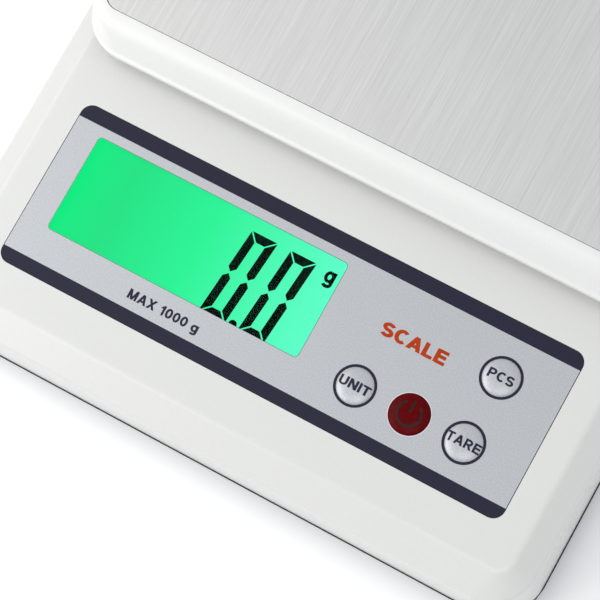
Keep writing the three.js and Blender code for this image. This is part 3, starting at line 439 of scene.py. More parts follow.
dark_plastic = finish(
    "dark_moulded_plastic",
    shown_colour(24, 24, 36),
    shown_colour(30, 30, 42),
    (0.42, 0.55),
    (1500, 1500, 1500),
    0.000006,
    shine=0.25,
)
base_edge = 0.00015
lower_casing = eased_copy("lower_casing", "lower_casing_shell", base_edge, dark_plastic)
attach(lower_casing, "casing")
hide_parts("lower_casing")


# ---- Feet ----
# Four soft rubber discs pressed into round seats under the corners, each with a rounded edge and two
# moulded rings that grip the table.


def turned(bm, profile, x, y, steps=64):
    """A turned shape from its (radius, height) points, about an upright axis at x, y."""
    verts = [bm.verts.new((x + radius, y, z)) for radius, z in profile]
    edges = [bm.edges.new(pair) for pair in zip(verts, verts[1:])]
    bmesh.ops.spin(
        bm,
        geom=verts + edges,
        cent=(x, y, 0),
        axis=(0, 0, 1),
        dvec=(0, 0, 0),
        angle=2 * pi,
        steps=steps,
        use_merge=True,
        use_duplicate=False,
    )
    bmesh.ops.remove_doubles(bm, verts=bm.verts, dist=1e-7)


def arc(x, y, reach, start, end, steps=6, rise=None):
    """Points along a round stretch, or an oval one with a rise of its own; angles in degrees from +X."""
    angles = [radians(start + (end - start) * i / steps) for i in range(steps + 1)]
    return [(x + reach * cos(a), y + (rise or reach) * sin(a)) for a in angles]


rubber = finish(
    "foot_rubber", shown_colour(34, 34, 36), shown_colour(52, 52, 54), (0.75, 0.95), (1800, 1800, 1800), 0.00002
)
for corner in corner_names:
    low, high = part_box("foot_" + corner)
    foot_radius = (high.x - low.x) / 2
    edge = 0.0006
    groove = 0.0004
    profile = [(0, 0)]
    for ring in (0.35, 0.6):
        profile += [
            (foot_radius * ring, 0),
            (foot_radius * ring + groove, groove),
            (foot_radius * ring + 2 * groove, 0),
        ]
    profile += arc(foot_radius - edge, edge, edge, -90, 0) + [(foot_radius, high.z), (0, high.z)]
    foot = bmesh.new()
    turned(foot, profile, (low.x + high.x) / 2, (low.y + high.y) / 2)
    foot = piece("foot_pad_" + corner, foot, rubber)
    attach(foot, "casing")
    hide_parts("foot_" + corner)


# ---- Battery bay ----
# A dark lid that hooks in at the rear and clicks in at the front, over three small round cells with printed
# sleeves and nickel contacts.

battery_cover = eased_copy("battery_cover", "battery_lid_cover", base_edge, dark_plastic)
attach(battery_cover, "battery_lid")
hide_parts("battery_cover")

sleeve = finish(
    "battery_sleeve", shown_colour(36, 74, 132), shown_colour(48, 94, 158), (0.25, 0.38), (300, 1200, 1200)
)
nickel = finish(
    "nickel_plate",
    shown_colour(196, 194, 186),
    shown_colour(214, 212, 204),
    (0.22, 0.4),
    (500, 4000, 500),
    0.000003,
    metallic=1,
)
nub_radius = 0.0019
nub_length = 0.001
rim = 0.0004
for number in (1, 2, 3):
    low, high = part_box(f"battery_{number}")
    radius = (high.y - low.y) / 2
    length = high.x - low.x
    body = length - nub_length
    profile = [(0, 0)] + arc(radius - rim, rim, rim, -90, 0, 4)
    profile += arc(radius - rim, body - rim, rim, 0, 90, 4)
    profile += [(nub_radius * 1.8, body), (nub_radius * 1.7, body - rim / 2), (nub_radius, body - rim / 2)]
    profile += arc(nub_radius - rim, length - rim, rim, 0, 90, 4) + [(0, length)]
    cell = bmesh.new()
    turned(cell, profile, 0, 0, 48)
    for face in cell.faces:
        face.material_index = 0 if rim < face.calc_center_median().z < body - rim else 1
    towards = 1 if number % 2 == 0 else -1
    start = low.x if towards > 0 else high.x
    bmesh.ops.transform(
        cell,
        verts=cell.verts,
        matrix=Matrix.Translation((start, (low.y + high.y) / 2, (low.z + high.z) / 2))
        @ Matrix.Rotation(towards * pi / 2, 4, "Y"),
    )
    cell = piece(f"battery_cell_{number}", cell, sleeve, nickel)
    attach(cell, "casing")
    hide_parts(f"battery_{number}")


def cover_cad(material, *nodes):
    """Gives CAD pieces that keep their own shape this finish."""
    for node in nodes:
        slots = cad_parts[node].data.materials
        slots.clear()
        slots.append(material)


cover_cad(
    nickel,
    "battery_terminal_positive",
    "battery_terminal_negative",
    "battery_link_left",
    "battery_link_right",
)


# ---- Weighing pan ----
# A white moulded tray that floats over the casing: a thin upright lip, a broad soft slope and a narrow rim round
# the seat of the steel plate. Four posts under it go through the casing to the load cell's carrier.

tray_low, tray_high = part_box("pan_tray")
plate_low, plate_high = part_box("pan_plate")
tray_width = tray_high.x - tray_low.x
tray_depth = tray_high.y - tray_low.y
tray_y = (tray_low.y + tray_high.y) / 2
lip_low = case_top + 0.0035
lip_high = lip_low + 0.0016
tray_corner = 0.0125
tray_wall = 0.002
rim_land = 0.0006
seat_gap = 0.00014
lip_step = 0.0009
lip_rise = 0.00035
lip_ease = 0.0004
moulded_edge = 0.0001
roll_width = 0.003
roll_height = 0.0004
plate_corner = 0.0044
plate_width = plate_high.x - plate_low.x
plate_depth = plate_high.y - plate_low.y
seat_floor = plate_low.z - 0.00005
tray_ceiling = seat_floor - tray_wall
slope_inset_side = (tray_width - plate_width) / 2 - seat_gap - rim_land
slope_inset_end = (tray_depth - plate_depth) / 2 - seat_gap - rim_land


def tray_section(bm, side, end, radius, z):
    return rounded_loop(bm, tray_width - 2 * side, tray_depth - 2 * end, radius, (0, tray_y, z))


def eased_turn(before, turn, after, reach, steps=6):
    """Sections that lead smoothly round a turn, from reach before it to reach after it."""
    start, end = [
        turn.lerp(other, reach / Vector((other[0] - turn[0], other[3] - turn[3])).length)
        for other in (before, after)
    ]
    stops = [step / steps for step in range(steps + 1)]
    return [start.lerp(turn, t).lerp(turn.lerp(end, t), t) for t in stops]


tray = bmesh.new()
seat_side = slope_inset_side + rim_land
seat_end = slope_inset_end + rim_land
lip_foot = Vector((0, 0, tray_corner, lip_low))
lip_top = Vector((0, 0, tray_corner, lip_high))
slope_foot = Vector((lip_step, lip_step, tray_corner - lip_step, lip_high + lip_rise))
slope_top = Vector(
    (
        slope_inset_side - roll_width,
        slope_inset_end - roll_width,
        plate_corner + rim_land + roll_width,
        tray_high.z - roll_height,
    )
)
rim_edge = Vector((slope_inset_side, slope_inset_end, plate_corner + rim_land, tray_high.z))
seat_edge = Vector((seat_side, seat_end, plate_corner + seat_gap, tray_high.z))
seat_foot = Vector((seat_side, seat_end, plate_corner + seat_gap, seat_floor))
tray_outline = [
    lip_foot,
    *eased_turn(lip_foot, lip_top, slope_foot, lip_ease, 5),
    *eased_turn(lip_top, slope_foot, slope_top, lip_ease, 5),
    *eased_turn(slope_foot, slope_top, rim_edge, roll_width * 0.8, 10),
    *eased_turn(slope_top, rim_edge, seat_edge, rim_land * 0.6, 6),
    *eased_turn(rim_edge, seat_edge, seat_foot, moulded_edge, 3),
    seat_foot,
]
outside = skin(tray, [tray_section(tray, *section) for section in tray_outline])
fill(tray, outside[-1])
hollow = skin(
    tray,
    [
        tray_section(tray, tray_wall, tray_wall, tray_corner - tray_wall, lip_low),
        tray_section(tray, tray_wall, tray_wall, tray_corner - tray_wall, lip_low + 0.0006),
        tray_section(
            tray, slope_inset_side + tray_wall, slope_inset_end + tray_wall, plate_corner, tray_ceiling
        ),
    ],
)
posts = [
    round_loop(tray, post_radius, (middle_of("tray_screw_" + c).x, middle_of("tray_screw_" + c).y, tray_ceiling))
    for c in corner_names
]
fill(tray, hollow[2], *posts)
for loop, corner in zip(posts, corner_names):
    spot = middle_of("tray_screw_" + corner)
    foot_of_post = sink(tray, loop, tray_low.z)
    pilot = round_loop(tray, 0.0015, (spot.x, spot.y, tray_low.z), 24)
    fill(tray, foot_of_post, pilot)
    fill(tray, sink(tray, pilot, tray_ceiling - 0.001))
wall(tray, hollow[0], outside[0])
soften(tray, outside[0], moulded_edge, 3)
tray_plastic = finish(
    "white_tray_plastic",
    shown_colour(219, 219, 217),
    shown_colour(221, 221, 219),
    (0.2, 0.26),
    (1400, 1400, 1400),
    0.000001,
)
pan_tray = piece("pan_tray_moulding", tray, tray_plastic)
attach(pan_tray, "weighing_pan")
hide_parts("pan_tray")

plate = bmesh.new()
plate_edge = 0.0002
plate_outline = [
    (0, plate_low.z),
    (0, plate_high.z - plate_edge),
    (plate_edge * 0.3, plate_high.z - plate_edge * 0.3),
    (plate_edge, plate_high.z),
]
loops = skin(
    plate,
    [
        rounded_loop(
            plate, plate_width - 2 * inset, plate_depth - 2 * inset, plate_corner - inset, (0, tray_y, z)
        )
        for inset, z in plate_outline
    ],
)
fill(plate, loops[0])
fill(plate, loops[-1])
steel = finish(
    "brushed_steel",
    shown_colour(196, 195, 194),
    shown_colour(213, 212, 211),
    (0.5, 0.58),
    (7000, 60, 400),
    0.000001,
    metallic=1,
    detail=4,
)
pan_plate = piece("pan_plate_sheet", plate, steel)
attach(pan_plate, "weighing_pan")
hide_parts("pan_plate")


# ---- Load cell and carrier ----
# A milled aluminium bending beam, bolted to the base at its left end, with a folded cross at its right end that
# carries the tray's four posts. The real beam bends between its two clamped ends as the pan goes down; here it is
# only sliced into twelve lengths and stays straight.

milled = finish(
    "milled_aluminium",
    shown_colour(186, 188, 192),
    shown_colour(206, 208, 212),
    (0.3, 0.45),
    (60, 3500, 3500),
    0.000004,
    metallic=1,
    detail=4,
)
sheet_aluminium = finish(
    "sheet_aluminium",
    shown_colour(168, 171, 176),
    shown_colour(188, 190, 195),
    (0.4, 0.55),
    (1400, 1400, 400),
    0.000006,
    metallic=1,
)
cover_cad(milled, "load_cell_base")
cell_low, cell_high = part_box("load_cell")
cell_cuts = 12
cell = bmesh.new()
cell.from_mesh(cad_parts["load_cell"].data)
bmesh.ops.remove_doubles(cell, verts=cell.verts, dist=1e-6)
for cut in range(1, cell_cuts):
    bmesh.ops.bisect_plane(
        cell,
        geom=[*cell.verts, *cell.edges, *cell.faces],
        plane_co=cell_low.lerp(cell_high, cut / cell_cuts),
        plane_no=(1, 0, 0),
    )
load_cell = piece("load_cell_beam", cell, milled)
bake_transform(load_cell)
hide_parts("load_cell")
cover_cad(sheet_aluminium, "pan_carrier")


# ---- Display ----
# The clear window lies under the printed film. Below it the green glass of the display, lit from behind, sits in
# a white frame over the light guide, its two lamps and its rubber connector.

window_size = Vector((0.0699, 0.0258))
window_middle = Vector((lens_middle.x, lens_middle.y))
clear = bpy.data.materials.new("clear_window")
clear.use_nodes = True
clear_shader = clear.node_tree.nodes["Principled BSDF"]
clear_shader.inputs["Base Color"].default_value = (0.97, 1, 0.985, 1)
clear_shader.inputs["Roughness"].default_value = 0.03
clear_shader.inputs["IOR"].default_value = 1.03
clear_shader.inputs["Transmission Weight"].default_value = 1
window = bmesh.new()
lens_edge = 0.0002
loops = skin(
    window,
    [
        rounded_loop(
            window,
            lens_size.x - 2 * inset,
            lens_size.y - 2 * inset,
            window_corner,
            (lens_middle.x, lens_middle.y, z),
        )
        for inset, z in [
            (lens_edge, lens_low.z),
            (0, lens_low.z + lens_edge),
            (0, lens_high.z - lens_edge),
            (lens_edge, lens_high.z),
        ]
    ],
)
fill(window, loops[0])
fill(window, loops[-1])
display_window = piece("display_window_lens", window, clear, smooth=20)
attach(display_window, "casing")
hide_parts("display_window")

glass_low, glass_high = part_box("lcd_glass")
glass_middle = (glass_low + glass_high) / 2
glow = bpy.data.materials.new("green_backlit_glass")
glow.use_nodes = True
nodes, links = glow.node_tree.nodes, glow.node_tree.links
glow_shader = nodes["Principled BSDF"]
glow_shader.inputs["Base Color"].default_value = shown_colour(0, 12, 6)
glow_shader.inputs["Roughness"].default_value = 0.25
glow_shader.inputs["Specular IOR Level"].default_value = 0.05
glow_shader.inputs["Emission Strength"].default_value = 1
glow_place = nodes.new("ShaderNodeTexCoord")
glow_mapping = nodes.new("ShaderNodeMapping")
glow_mapping.vector_type = "TEXTURE"
glow_mapping.inputs["Location"].default_value = (glass_low.x, glass_middle.y, glass_high.z)
glow_mapping.inputs["Scale"].default_value = (glass_high.x - glass_low.x, 0.1, 1)
glow_gradient = nodes.new("ShaderNodeTexGradient")
glow_ramp = nodes.new("ShaderNodeValToRGB")
glow_stops = [
    (0.04, shown_colour(20, 236, 130)),
    (0.2, shown_colour(38, 226, 134)),
    (0.5, shown_colour(46, 243, 152)),
    (0.97, shown_colour(98, 255, 204)),
]
while len(glow_ramp.color_ramp.elements) < len(glow_stops):
    glow_ramp.color_ramp.elements.new(0.5)
for element, (position, colour) in zip(glow_ramp.color_ramp.elements, glow_stops):
    element.position = position
    element.color = colour
links.new(glow_place.outputs["Object"], glow_mapping.inputs["Vector"])
links.new(glow_mapping.outputs["Vector"], glow_gradient.inputs["Vector"])
links.new(glow_gradient.outputs["Color"], glow_ramp.inputs["Fac"])
links.new(glow_ramp.outputs["Color"], glow_shader.inputs["Emission Color"])

segment_ink = finish(
    "dark_segments", shown_colour(2, 22, 14), shown_colour(6, 30, 20), (0.5, 0.6), (400, 400, 400), shine=0.05
)
glass = bmesh.new()
bmesh.ops.create_cube(
    glass,
    size=1,
    matrix=Matrix.Translation(glass_middle) @ Matrix.Diagonal((*(glass_high - glass_low), 1)),
)
soften(glass, list(glass.edges), 0.0002, 2)

# The reading 0.0 g: seven-segment figures that lean a little, with a round point and the unit's letter.
digit_height = 0.0232
digit_width = 0.0072
digit_pitch = 0.0108
segment = 0.0022
segment_gap = 0.00025
lean = 0.083
ink_height = 0.00003
reading_x = film_low.x + 0.0498
reading_y = film_low.y + 0.0118


def leaning(x, y):
    return reading_x + x + lean * y, reading_y + y


def ink_plate(bm, outline, z, material_index, thickness=ink_height):
    """A thin printed shape: its outline as x, y points, lifted off the surface at z by its thickness."""
    face = bm.faces.new([bm.verts.new((x, y, z)) for x, y in outline])
    made = bmesh.ops.extrude_face_region(bm, geom=[face])["geom"]
    verts = [item for item in made if isinstance(item, bmesh.types.BMVert)]
    bmesh.ops.translate(bm, verts=verts, vec=(0, 0, thickness))
    for item in [face] + [f for v in verts for f in v.link_faces]:
        item.material_index = material_index


end_bar = [
    (segment_gap, digit_height),
    (digit_width - segment_gap, digit_height),
    (digit_width - segment - segment_gap, digit_height - segment),
    (segment + segment_gap, digit_height - segment),
]
side_bar = [
    (0, digit_height - segment_gap),
    (segment, digit_height - segment - segment_gap),
    (segment, digit_height / 2 + segment / 2 + segment_gap),
    (segment / 2, digit_height / 2 + segment_gap),
    (0, digit_height / 2 + segment / 2 + segment_gap),
]
for digit in (0, 1):
    for bar, mirrors in [
        (end_bar, [(1, 1), (1, -1)]),
        (side_bar, [(1, 1), (-1, 1), (1, -1), (-1, -1)]),
    ]:
        for mirror_x, mirror_y in mirrors:
            outline = [
                leaning(
                    digit * digit_pitch + digit_width / 2 + mirror_x * (x - digit_width / 2),
                    digit_height / 2 + mirror_y * (y - digit_height / 2),
                )
                for x, y in bar
            ]
            ink_plate(glass, outline, glass_high.z, 1)
point_radius = 0.00105
point_middle = leaning((digit_pitch + digit_width) / 2, 0.0008)
ink_plate(
    glass,
    [
        (point_middle[0] + point_radius * cos(a * pi / 12), point_middle[1] + point_radius * sin(a * pi / 12))
        for a in range(24)
    ],
    glass_high.z,
    1,
)


half_stroke = 0.1
cap_middle = 1 - half_stroke
bowl = arc(0.37, 0.68, 0.215, 90, -90, 10, rise=0.225)
letter_strokes = {
    " ": (0.24, []),
    "A": (0.8, [[(0.1, 0), (0.4, 1)], [(0.7, 0), (0.4, 1)], [(0.2, 0.3), (0.6, 0.3)]]),
    "C": (0.68, [arc(0.38, 0.5, 0.285, 48, 312, 20, rise=0.405)]),
    "E": (
        0.64,
        [[(half_stroke, 0), (half_stroke, 1)], [(half_stroke, cap_middle), (0.64, cap_middle)]]
        + [[(half_stroke, 0.52), (0.6, 0.52)], [(half_stroke, half_stroke), (0.64, half_stroke)]],
    ),
    "I": (0.19, [[(half_stroke, 0), (half_stroke, 1)]]),
    "L": (0.6, [[(half_stroke, 0), (half_stroke, 1)], [(half_stroke, half_stroke), (0.6, half_stroke)]]),
    "M": (
        0.86,
        [[(half_stroke, 0), (half_stroke, 1)], [(0.86 - half_stroke, 0), (0.86 - half_stroke, 1)]]
        + [[(0.12, 1), (0.43, 0)], [(0.74, 1), (0.43, 0)]],
    ),
    "N": (
        0.72,
        [[(half_stroke, 0), (half_stroke, 1)], [(0.72 - half_stroke, 0), (0.72 - half_stroke, 1)]]
        + [[(0.11, 1), (0.61, 0)]],
    ),
    "P": (
        0.68,
        [[(half_stroke, 0), (half_stroke, 1)], [(half_stroke, cap_middle)] + bowl + [(half_stroke, 0.455)]],
    ),
    "R": (
        0.72,
        [[(half_stroke, 0), (half_stroke, 1)], [(half_stroke, cap_middle)] + bowl + [(half_stroke, 0.455)]]
        + [[(0.36, 0.45), (0.62, 0)]],
    ),
    "S": (
        0.68,
        [
            arc(0.34, 0.7025, 0.245, 25, 270, 14, rise=0.2025)
            + arc(0.34, 0.2975, 0.245, 90, -155, 14, rise=0.2025)[1:]
        ],
    ),
    "T": (0.66, [[(0, cap_middle), (0.66, cap_middle)], [(0.33, 0), (0.33, 1)]]),
    "U": (0.72, [[(half_stroke, 1)] + arc(0.36, 0.36, 0.265, 180, 360, 12) + [(0.72 - half_stroke, 1)]]),
    "X": (0.74, [[(0.1, 0), (0.64, 1)], [(0.1, 1), (0.64, 0)]]),
    "0": (
        0.62,
        [arc(0.31, 0.5, 0.215, 90, 270, 16, rise=0.405), arc(0.31, 0.5, 0.215, -90, 90, 16, rise=0.405)],
    ),
    "1": (0.46, [[(0.34, 0), (0.34, 1)], [(0.14, 0.66), (0.31, 0.9)]]),
    "g": (
        0.64,
        [arc(0.31, 0.36, 0.215, 90, 270, 12, rise=0.265), arc(0.31, 0.36, 0.215, -90, 90, 12, rise=0.265)]
        + [[(0.545, 0.72)] + arc(0.32, -0.04, 0.225, 0, -150, 10, rise=0.165)],
    ),
}
letter_gap = 0.1
stroke_step = 0.05


def ribbon(points, half):
    """Outline of a stroke along its middle line, from half its thickness. A straight slanted stroke ends level."""
    (x0, y0), (x1, y1) = points[0], points[-1]
    if len(points) == 2 and x0 != x1 and y0 != y1:
        reach = half * hypot(x1 - x0, y1 - y0) / abs(y1 - y0)
        return [(x0 - reach, y0), (x0 + reach, y0), (x1 + reach, y1), (x1 - reach, y1)]
    sides = []
    for (x, y), before, after in zip(points, points[:1] + points[:-1], points[1:] + points[-1:]):
        along = (Vector(after) - Vector(before)).normalized() * half
        sides.append(((x - along.y, y + along.x), (x + along.y, y - along.x)))
    return [left for left, _ in sides] + [right for _, right in reversed(sides)]


def lettering(words, width, height, weight=1.0):
    """Plain bold letters as thin plates about their middle, as wide as said, with capitals of the said height.
    Strokes that cross stand a little above each other, so that no two faces share a place."""
    letters = bmesh.new()
    total = sum(letter_strokes[c][0] + letter_gap for c in words) - letter_gap
    x_start = -total / 2
    for c in words:
        letter_width, strokes = letter_strokes[c]
        for layer, stroke in enumerate(strokes):
            sides = ribbon(stroke, half_stroke * weight)
            outline = [((x_start + x) * width / total, (y - 0.5) * height) for x, y in sides]
            ink_plate(letters, outline, 0, 0, 1 + layer * stroke_step)
        x_start += letter_width + letter_gap
    return letters


def add_lettering(bm, letters, x, y, surface, material_index, thickness=ink_height):
    """Lays letters on a surface, whose height at x, y is a function, and adds them to a piece."""
    for v in letters.verts:
        v.co = (v.co.x + x, v.co.y + y, surface(v.co.x, v.co.y) + v.co.z * thickness)
    for face in letters.faces:
        face.material_index = material_index
    mesh = bpy.data.meshes.new("words")
    letters.to_mesh(mesh)
    letters.free()
    bm.from_mesh(mesh)
    bpy.data.meshes.remove(mesh)


add_lettering(
    glass,
    lettering("g", 0.0027, 0.0042),
    film_low.x + 0.0741,
    film_low.y + 0.0341,
    lambda x, y: glass_high.z,
    1,
)
lcd_glass = piece("lcd_glass_cell", glass, glow, segment_ink)
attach(lcd_glass, "casing")
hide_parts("lcd_glass")

frame_plastic = finish(
    "display_frame_plastic", shown_colour(206, 206, 202), shown_colour(214, 214, 210), (0.5, 0.62), (900, 900, 900)
)
light_guide = finish(
    "light_guide_acrylic", shown_colour(170, 236, 196), shown_colour(198, 246, 216), (0.2, 0.3), (120, 120, 120)
)
lamp_white = finish(
    "lamp_resin", shown_colour(232, 232, 214), shown_colour(244, 244, 232), (0.25, 0.4), (700, 700, 700)
)
connector_rubber = finish(
    "striped_connector", shown_colour(46, 47, 48), shown_colour(122, 124, 126), (0.7, 0.85), (5000, 40, 40)
)
holder_low, holder_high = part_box("lcd_frame")
holder_middle = (holder_low + holder_high) / 2
holder_corner = 0.001
pocket_gap = 0.0003
reveal = 0.0012
shelf = glass_high.z + 0.00005
holder = bmesh.new()


def holder_section(size, middle, z):
    return rounded_loop(holder, size.x, size.y, holder_corner, (middle.x, middle.y, z), 4)


holder_size = holder_high - holder_low
opening = window_size + Vector((2 * reveal, 2 * reveal))
pocket = (glass_high - glass_low).xy + Vector((2 * pocket_gap, 2 * pocket_gap))
loops = skin(
    holder,
    [
        holder_section(holder_size, holder_middle, holder_low.z),
        holder_section(holder_size, holder_middle, holder_high.z),
        holder_section(opening, window_middle, holder_high.z),
        holder_section(opening, window_middle, shelf),
        holder_section(pocket, glass_middle, shelf),
        holder_section(pocket, glass_middle, holder_low.z),
    ],
)
wall(holder, loops[-1], loops[0])
display_frame = piece("display_frame_holder", holder, frame_plastic)
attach(display_frame, "casing")
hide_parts("lcd_frame")

cover_cad(light_guide, "backlight_panel")
cover_cad(lamp_white, "backlight_led_1", "backlight_led_2")
cover_cad(connector_rubber, "lcd_connector")


# ---- Main board ----
# A green fibreglass board on four bosses, with the controller under a black resin blob, and a black tact switch
# with a grey plunger under each key.

board_green = finish(
    "green_board", shown_colour(20, 78, 44), shown_colour(44, 122, 70), (0.35, 0.55), (260, 1900, 900), 0.00002
)
resin = finish("black_resin", shown_colour(12, 12, 14), shown_colour(22, 22, 24), (0.15, 0.3), (400, 400, 400))
switch_black = finish(
    "switch_plastic", shown_colour(22, 22, 24), shown_colour(32, 32, 34), (0.4, 0.55), (1500, 1500, 1500)
)
plunger_grey = finish(
    "plunger_plastic", shown_colour(52, 52, 56), shown_colour(66, 66, 70), (0.4, 0.5), (1500, 1500, 1500)
)
cover_cad(board_green, "main_board")
cover_cad(resin, "controller_chip")
cover_cad(switch_black, *[name + "_switch" for name in key_names])
cover_cad(plunger_grey, *[name + "_switch_plunger" for name in key_names])


# ---- Control panel ----
# A silver film printed with two navy bands and rings round three keys, glued into the casing's recess. Thin navy
# lines round the window and along the film's two ends are painted shade for the shaded gaps there, and a pale ring
# round the power key is a painted highlight on its edge. It has the window's opening and a hole for each key.

film_top = film_high.z
rear_band = 0.0039
front_band = 0.0036
# Width of the navy lines painted round the window and along the film's two ends as painted shade for the shaded
# gaps there.
shade_line_width = 0.0001
ring_radius = 0.00527
# Width of the pale ring painted round the power key as a painted highlight on its edge.
highlight_ring_width = 0.00018
window_undercut = 0.0003
film_edge = 0.0001
film = bmesh.new()
film_loops = skin(
    film,
    [
        rounded_loop(
            film, film_size.x - 2 * inset, film_size.y - 2 * inset, film_corner - inset, (0, film_middle.y, z)
        )
        for inset, z in [(0, film_low.z), (0, film_top - film_edge), (film_edge, film_top)]
    ],
)
window_hole = rounded_loop(film, *window_size, window_corner, (*window_middle, film_top), 6)
window_shade_line = rounded_loop(
    film,
    window_size.x + 2 * shade_line_width,
    window_size.y + 2 * shade_line_width,
    window_corner + shade_line_width,
    (*window_middle, film_top),
    6,
)
key_holes = {
    n: round_loop(film, key_radius[n] + key_hole_gap, (key_place[n].x, key_place[n].y, film_top), 64)
    for n in key_names
}
key_rings = {
    n: round_loop(
        film,
        key_radius[n] + key_hole_gap + highlight_ring_width if n == "power" else ring_radius,
        (key_place[n].x, key_place[n].y, film_top),
        64,
    )
    for n in key_names
}
# The navy line round the window is painted shade for the shaded edge of the window's opening.
for face in wall(film, window_hole, window_shade_line):
    face.material_index = 1
# Rings round unit, tare and pcs are navy print; the pale ring round the power key is a painted highlight on its
# edge.
for name, ring in key_rings.items():
    for face in wall(film, key_holes[name], ring):
        face.material_index = 3 if name == "power" else 1
fill(film, film_loops[2], window_shade_line, *key_rings.values())
window_foot = rounded_loop(
    film,
    window_size.x + 2 * window_undercut,
    window_size.y + 2 * window_undercut,
    window_corner + window_undercut,
    (*window_middle, film_low.z),
    6,
)
wall(film, window_foot, window_hole)
key_feet = [sink(film, loop, film_low.z) for loop in key_holes.values()]
fill(film, film_loops[0], window_foot, *key_feet)
# The rear and front navy bands are print; the thin navy strips at the film's two ends are painted shade for the
# shaded gaps beside the film.
cuts = [
    ((0, film_high.y - rear_band, 0), (0, 1, 0)),
    ((0, film_low.y + front_band, 0), (0, -1, 0)),
    ((film_high.x - shade_line_width, 0, 0), (1, 0, 0)),
    ((film_low.x + shade_line_width, 0, 0), (-1, 0, 0)),
]
for place, outwards in cuts:
    everything = list(film.verts) + list(film.edges) + list(film.faces)
    bmesh.ops.bisect_plane(film, geom=everything, dist=1e-7, plane_co=place, plane_no=outwards)
    for face in film.faces:
        if (face.calc_center_median() - Vector(place)).dot(Vector(outwards)) > 0:
            face.material_index = 1
silver = finish(
    "silver_film",
    shown_colour(169, 171, 175),
    shown_colour(189, 191, 195),
    (0.42, 0.55),
    (3600, 3600, 3600),
    0.000003,
    metallic=0.6,
    detail=1,
)
# Navy for the printed bands, rings and words, and also for the thin lines painted as shade round the window and at
# the film's ends.
navy_print_and_painted_shade = finish(
    "navy_print_and_painted_shade", shown_colour(28, 28, 46), shown_colour(33, 33, 52), (0.42, 0.52), (2400, 2400, 2400), shine=0.2
)
orange_ink = finish(
    "orange_ink", shown_colour(160, 50, 8), shown_colour(172, 60, 12), (0.5, 0.6), (1200, 1200, 1200), shine=0.1
)
add_lettering(
    film,
    lettering("MAX 1000 g", 0.0195, 0.0025),
    film_low.x + 0.0432,
    film_low.y + 0.0073,
    lambda x, y: film_top,
    1,
)
add_lettering(
    film,
    lettering("SCALE", 0.0172, 0.0034, 1.2),
    film_low.x + 0.1004,
    film_low.y + 0.0282,
    lambda x, y: film_top,
    2,
)
# Pale colour painted round the power key as a painted highlight on its edge.
pale_painted_highlight = finish(
    "pale_painted_highlight", shown_colour(214, 206, 208), shown_colour(224, 216, 218), (0.4, 0.5), (1200, 1200, 1200)
)
control_panel = piece("control_panel_film", film, silver, navy_print_and_painted_shade, orange_ink, pale_painted_highlight)
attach(control_panel, "casing")
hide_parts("control_panel")


# ---- Keys ----
# Domed moulded caps, each with a flange under the casing's top that keeps it in and a stem on its switch. Three
# are silver with a printed word, and the power key is dark red with a grey power sign.

key_silver = finish(
    "key_silver",
    shown_colour(170, 172, 176),
    shown_colour(188, 190, 194),
    (0.3, 0.4),
    (3600, 3600, 3600),
    0.000003,
    metallic=0.35,
    detail=1,
)
key_red = finish(
    "key_red", shown_colour(80, 0, 2), shown_colour(92, 0, 4), (0.24, 0.3), (900, 900, 900), shine=0.06
)
legend_grey = finish(
    "legend_grey", shown_colour(40, 24, 24), shown_colour(50, 32, 31), (0.4, 0.5), (900, 900, 900), shine=0.1
)
key_side = 0.0001
stem_radius = 0.0016
flange_high = ceiling - 0.0003
flange_low = flange_high - 0.0012
legends = {"unit": ("UNIT", 0.0081), "tare": ("TARE", 0.0088), "pcs": ("PCS", 0.0067)}
legend_height = 0.0024
legend_facet = 0.0004
ink_thickness = 0.00004
sign_radius = 0.003
sign_stroke = 0.0006
sign_opening = 35
for name in key_names:
    low, high = key_boxes[name]
    spot = key_place[name]
    radius = key_radius[name] + key_side
    dome = high.z - film_top

    def crown(x, y, radius=radius, dome=dome):
        """Height of the cap over a point that far from its middle."""
        share = min(hypot(x, y) / radius, 1)
        return film_top + dome * (1 - share**2.4) ** 0.6

    cap = bmesh.new()
    profile = [(0, low.z), (stem_radius, low.z), (stem_radius, flange_low)]
    profile += [(radius + key_flange - key_side, flange_low), (radius + key_flange - key_side, flange_high)]
    profile += [(radius, flange_high)]
    rings = [sin(radians(90) * i / 14) for i in range(14, 0, -1)]
    profile += [(radius * ring, crown(radius * ring, 0)) for ring in rings] + [(0, high.z)]
    turned(cap, profile, spot.x, spot.y)
    if name == "power":
        sign = bmesh.new()
        start = radians(90 + sign_opening)
        sweep = radians(360 - 2 * sign_opening)
        steps = 40
        outline = [(sign_radius + sign_stroke / 2, start + sweep * i / steps) for i in range(steps + 1)]
        outline += [(sign_radius - sign_stroke / 2, a) for _, a in reversed(outline)]
        ink_plate(sign, [(r * cos(a), r * sin(a)) for r, a in outline], 0, 0, 1)
        half = sign_stroke / 2
        bar = [(-half, 0.0004), (half, 0.0004), (half, 0.0034), (-half, 0.0034)]
        ink_plate(sign, bar, 0, 0, 1)
        legend, finishes = sign, (key_red, legend_grey)
    else:
        legend, finishes = lettering(*legends[name], legend_height), (key_silver, navy_print_and_painted_shade)
    bmesh.ops.triangulate(legend, faces=legend.faces)
    for _ in range(4):
        long_edges = [
            e
            for e in legend.edges
            if e.calc_length() > legend_facet and e.verts[0].co.z == e.verts[1].co.z
        ]
        bmesh.ops.subdivide_edges(legend, edges=long_edges, cuts=1)
        bmesh.ops.triangulate(legend, faces=legend.faces)
    add_lettering(cap, legend, spot.x, spot.y, crown, 1, ink_thickness)
    cap = piece(name + "_key_cap", cap, *finishes, smooth=30)
    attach(cap, name + "_key")
    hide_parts(name + "_button")


# ---- Screws ----
# Zinc-plated pan-head screws with a cross recess: four hold the casing's halves, four the board, four the tray's
# posts to the carrier, and four the load cell.

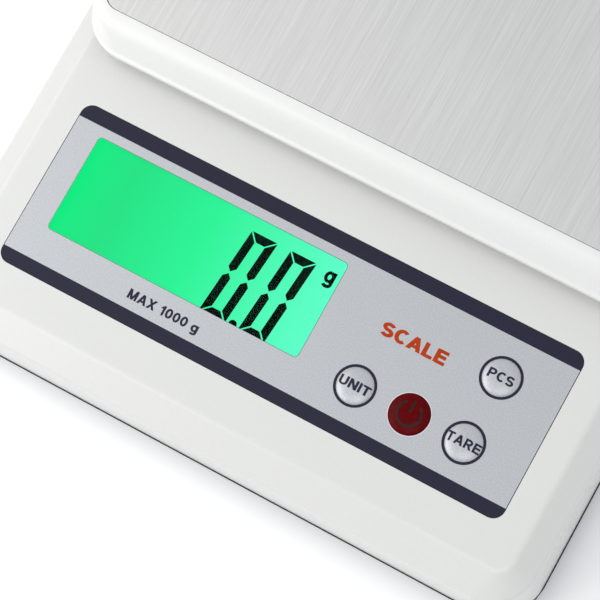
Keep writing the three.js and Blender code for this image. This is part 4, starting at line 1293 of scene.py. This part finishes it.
zinc = finish(
    "zinc_plate", shown_colour(150, 152, 156), shown_colour(178, 180, 184), (0.25, 0.4), (900, 900, 900), metallic=1
)


def cross_loop(bm, reach, half, z):
    """Edges of a cross lying flat about the origin."""
    quarter = [(reach, -half), (reach, half), (half, half)]
    points = [Matrix.Rotation(turn * pi / 2, 2) @ Vector(p) for turn in range(4) for p in quarter]
    verts = [bm.verts.new((*p, z)) for p in points]
    return [bm.edges.new(pair) for pair in zip(verts, verts[1:] + verts[:1])]


def fit_screw(node, body, tip_up=True):
    """A screw in the room of its CAD solid: its head's crown and recess, a shaft and a ridge for each turn."""
    low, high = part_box(node)
    head_radius = (high.x - low.x) / 2
    length = high.z - low.z
    head = head_radius * 0.56
    shaft = head_radius * 0.5
    pitch = shaft * 0.6
    crown_edge = head * 0.45
    bm = bmesh.new()
    profile = [(head_radius * 0.78, 0)] + arc(head_radius - crown_edge, crown_edge, crown_edge, -50, 0, 4)
    profile += [(head_radius, head), (shaft * 0.86, head)]
    z = head + pitch
    while z < length - pitch:
        profile += [(shaft * 0.86, z - pitch * 0.4), (shaft, z), (shaft * 0.86, z + pitch * 0.4)]
        z += pitch
    profile += [(shaft * 0.5, length - pitch * 0.3), (0, length)]
    turned(bm, profile, 0, 0, 32)
    top = [e for e in bm.edges if e.is_boundary]
    recess_loop = cross_loop(bm, head_radius * 0.55, head_radius * 0.13, 0)
    fill(bm, top, recess_loop)
    fill(bm, sink(bm, recess_loop, head * 0.6))
    if not tip_up:
        bmesh.ops.rotate(bm, verts=bm.verts, matrix=Matrix.Rotation(pi, 3, "X"), cent=(0, 0, 0))
        bmesh.ops.translate(bm, verts=bm.verts, vec=(0, 0, length))
    bmesh.ops.translate(bm, verts=bm.verts, vec=((low.x + high.x) / 2, (low.y + high.y) / 2, low.z))
    screw = piece(node + "_fastener", bm, zinc)
    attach(screw, body)
    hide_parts(node)


for corner in corner_names:
    fit_screw("casing_screw_" + corner, "casing")
    fit_screw("board_screw_" + corner, "casing")
    fit_screw("tray_screw_" + corner, "weighing_pan")
for number in (1, 2):
    fit_screw(f"load_cell_base_screw_{number}", "casing")
    fit_screw(f"load_cell_top_screw_{number}", "weighing_pan", tip_up=False)


# ---- Leads ----
# Soft plastic-covered leads inside the casing, from the battery bay and the load cell to the board.

for node, dark, light in [
    ("load_cell_cable", (120, 122, 125), (142, 144, 147)),
    ("battery_lead_positive", (160, 18, 18), (180, 28, 26)),
    ("battery_lead_negative", (18, 18, 20), (30, 30, 32)),
]:
    lead_cover = finish(
        node + "_cover", shown_colour(*dark), shown_colour(*light), (0.4, 0.55), (800, 800, 800)
    )
    cover_cad(lead_cover, node)
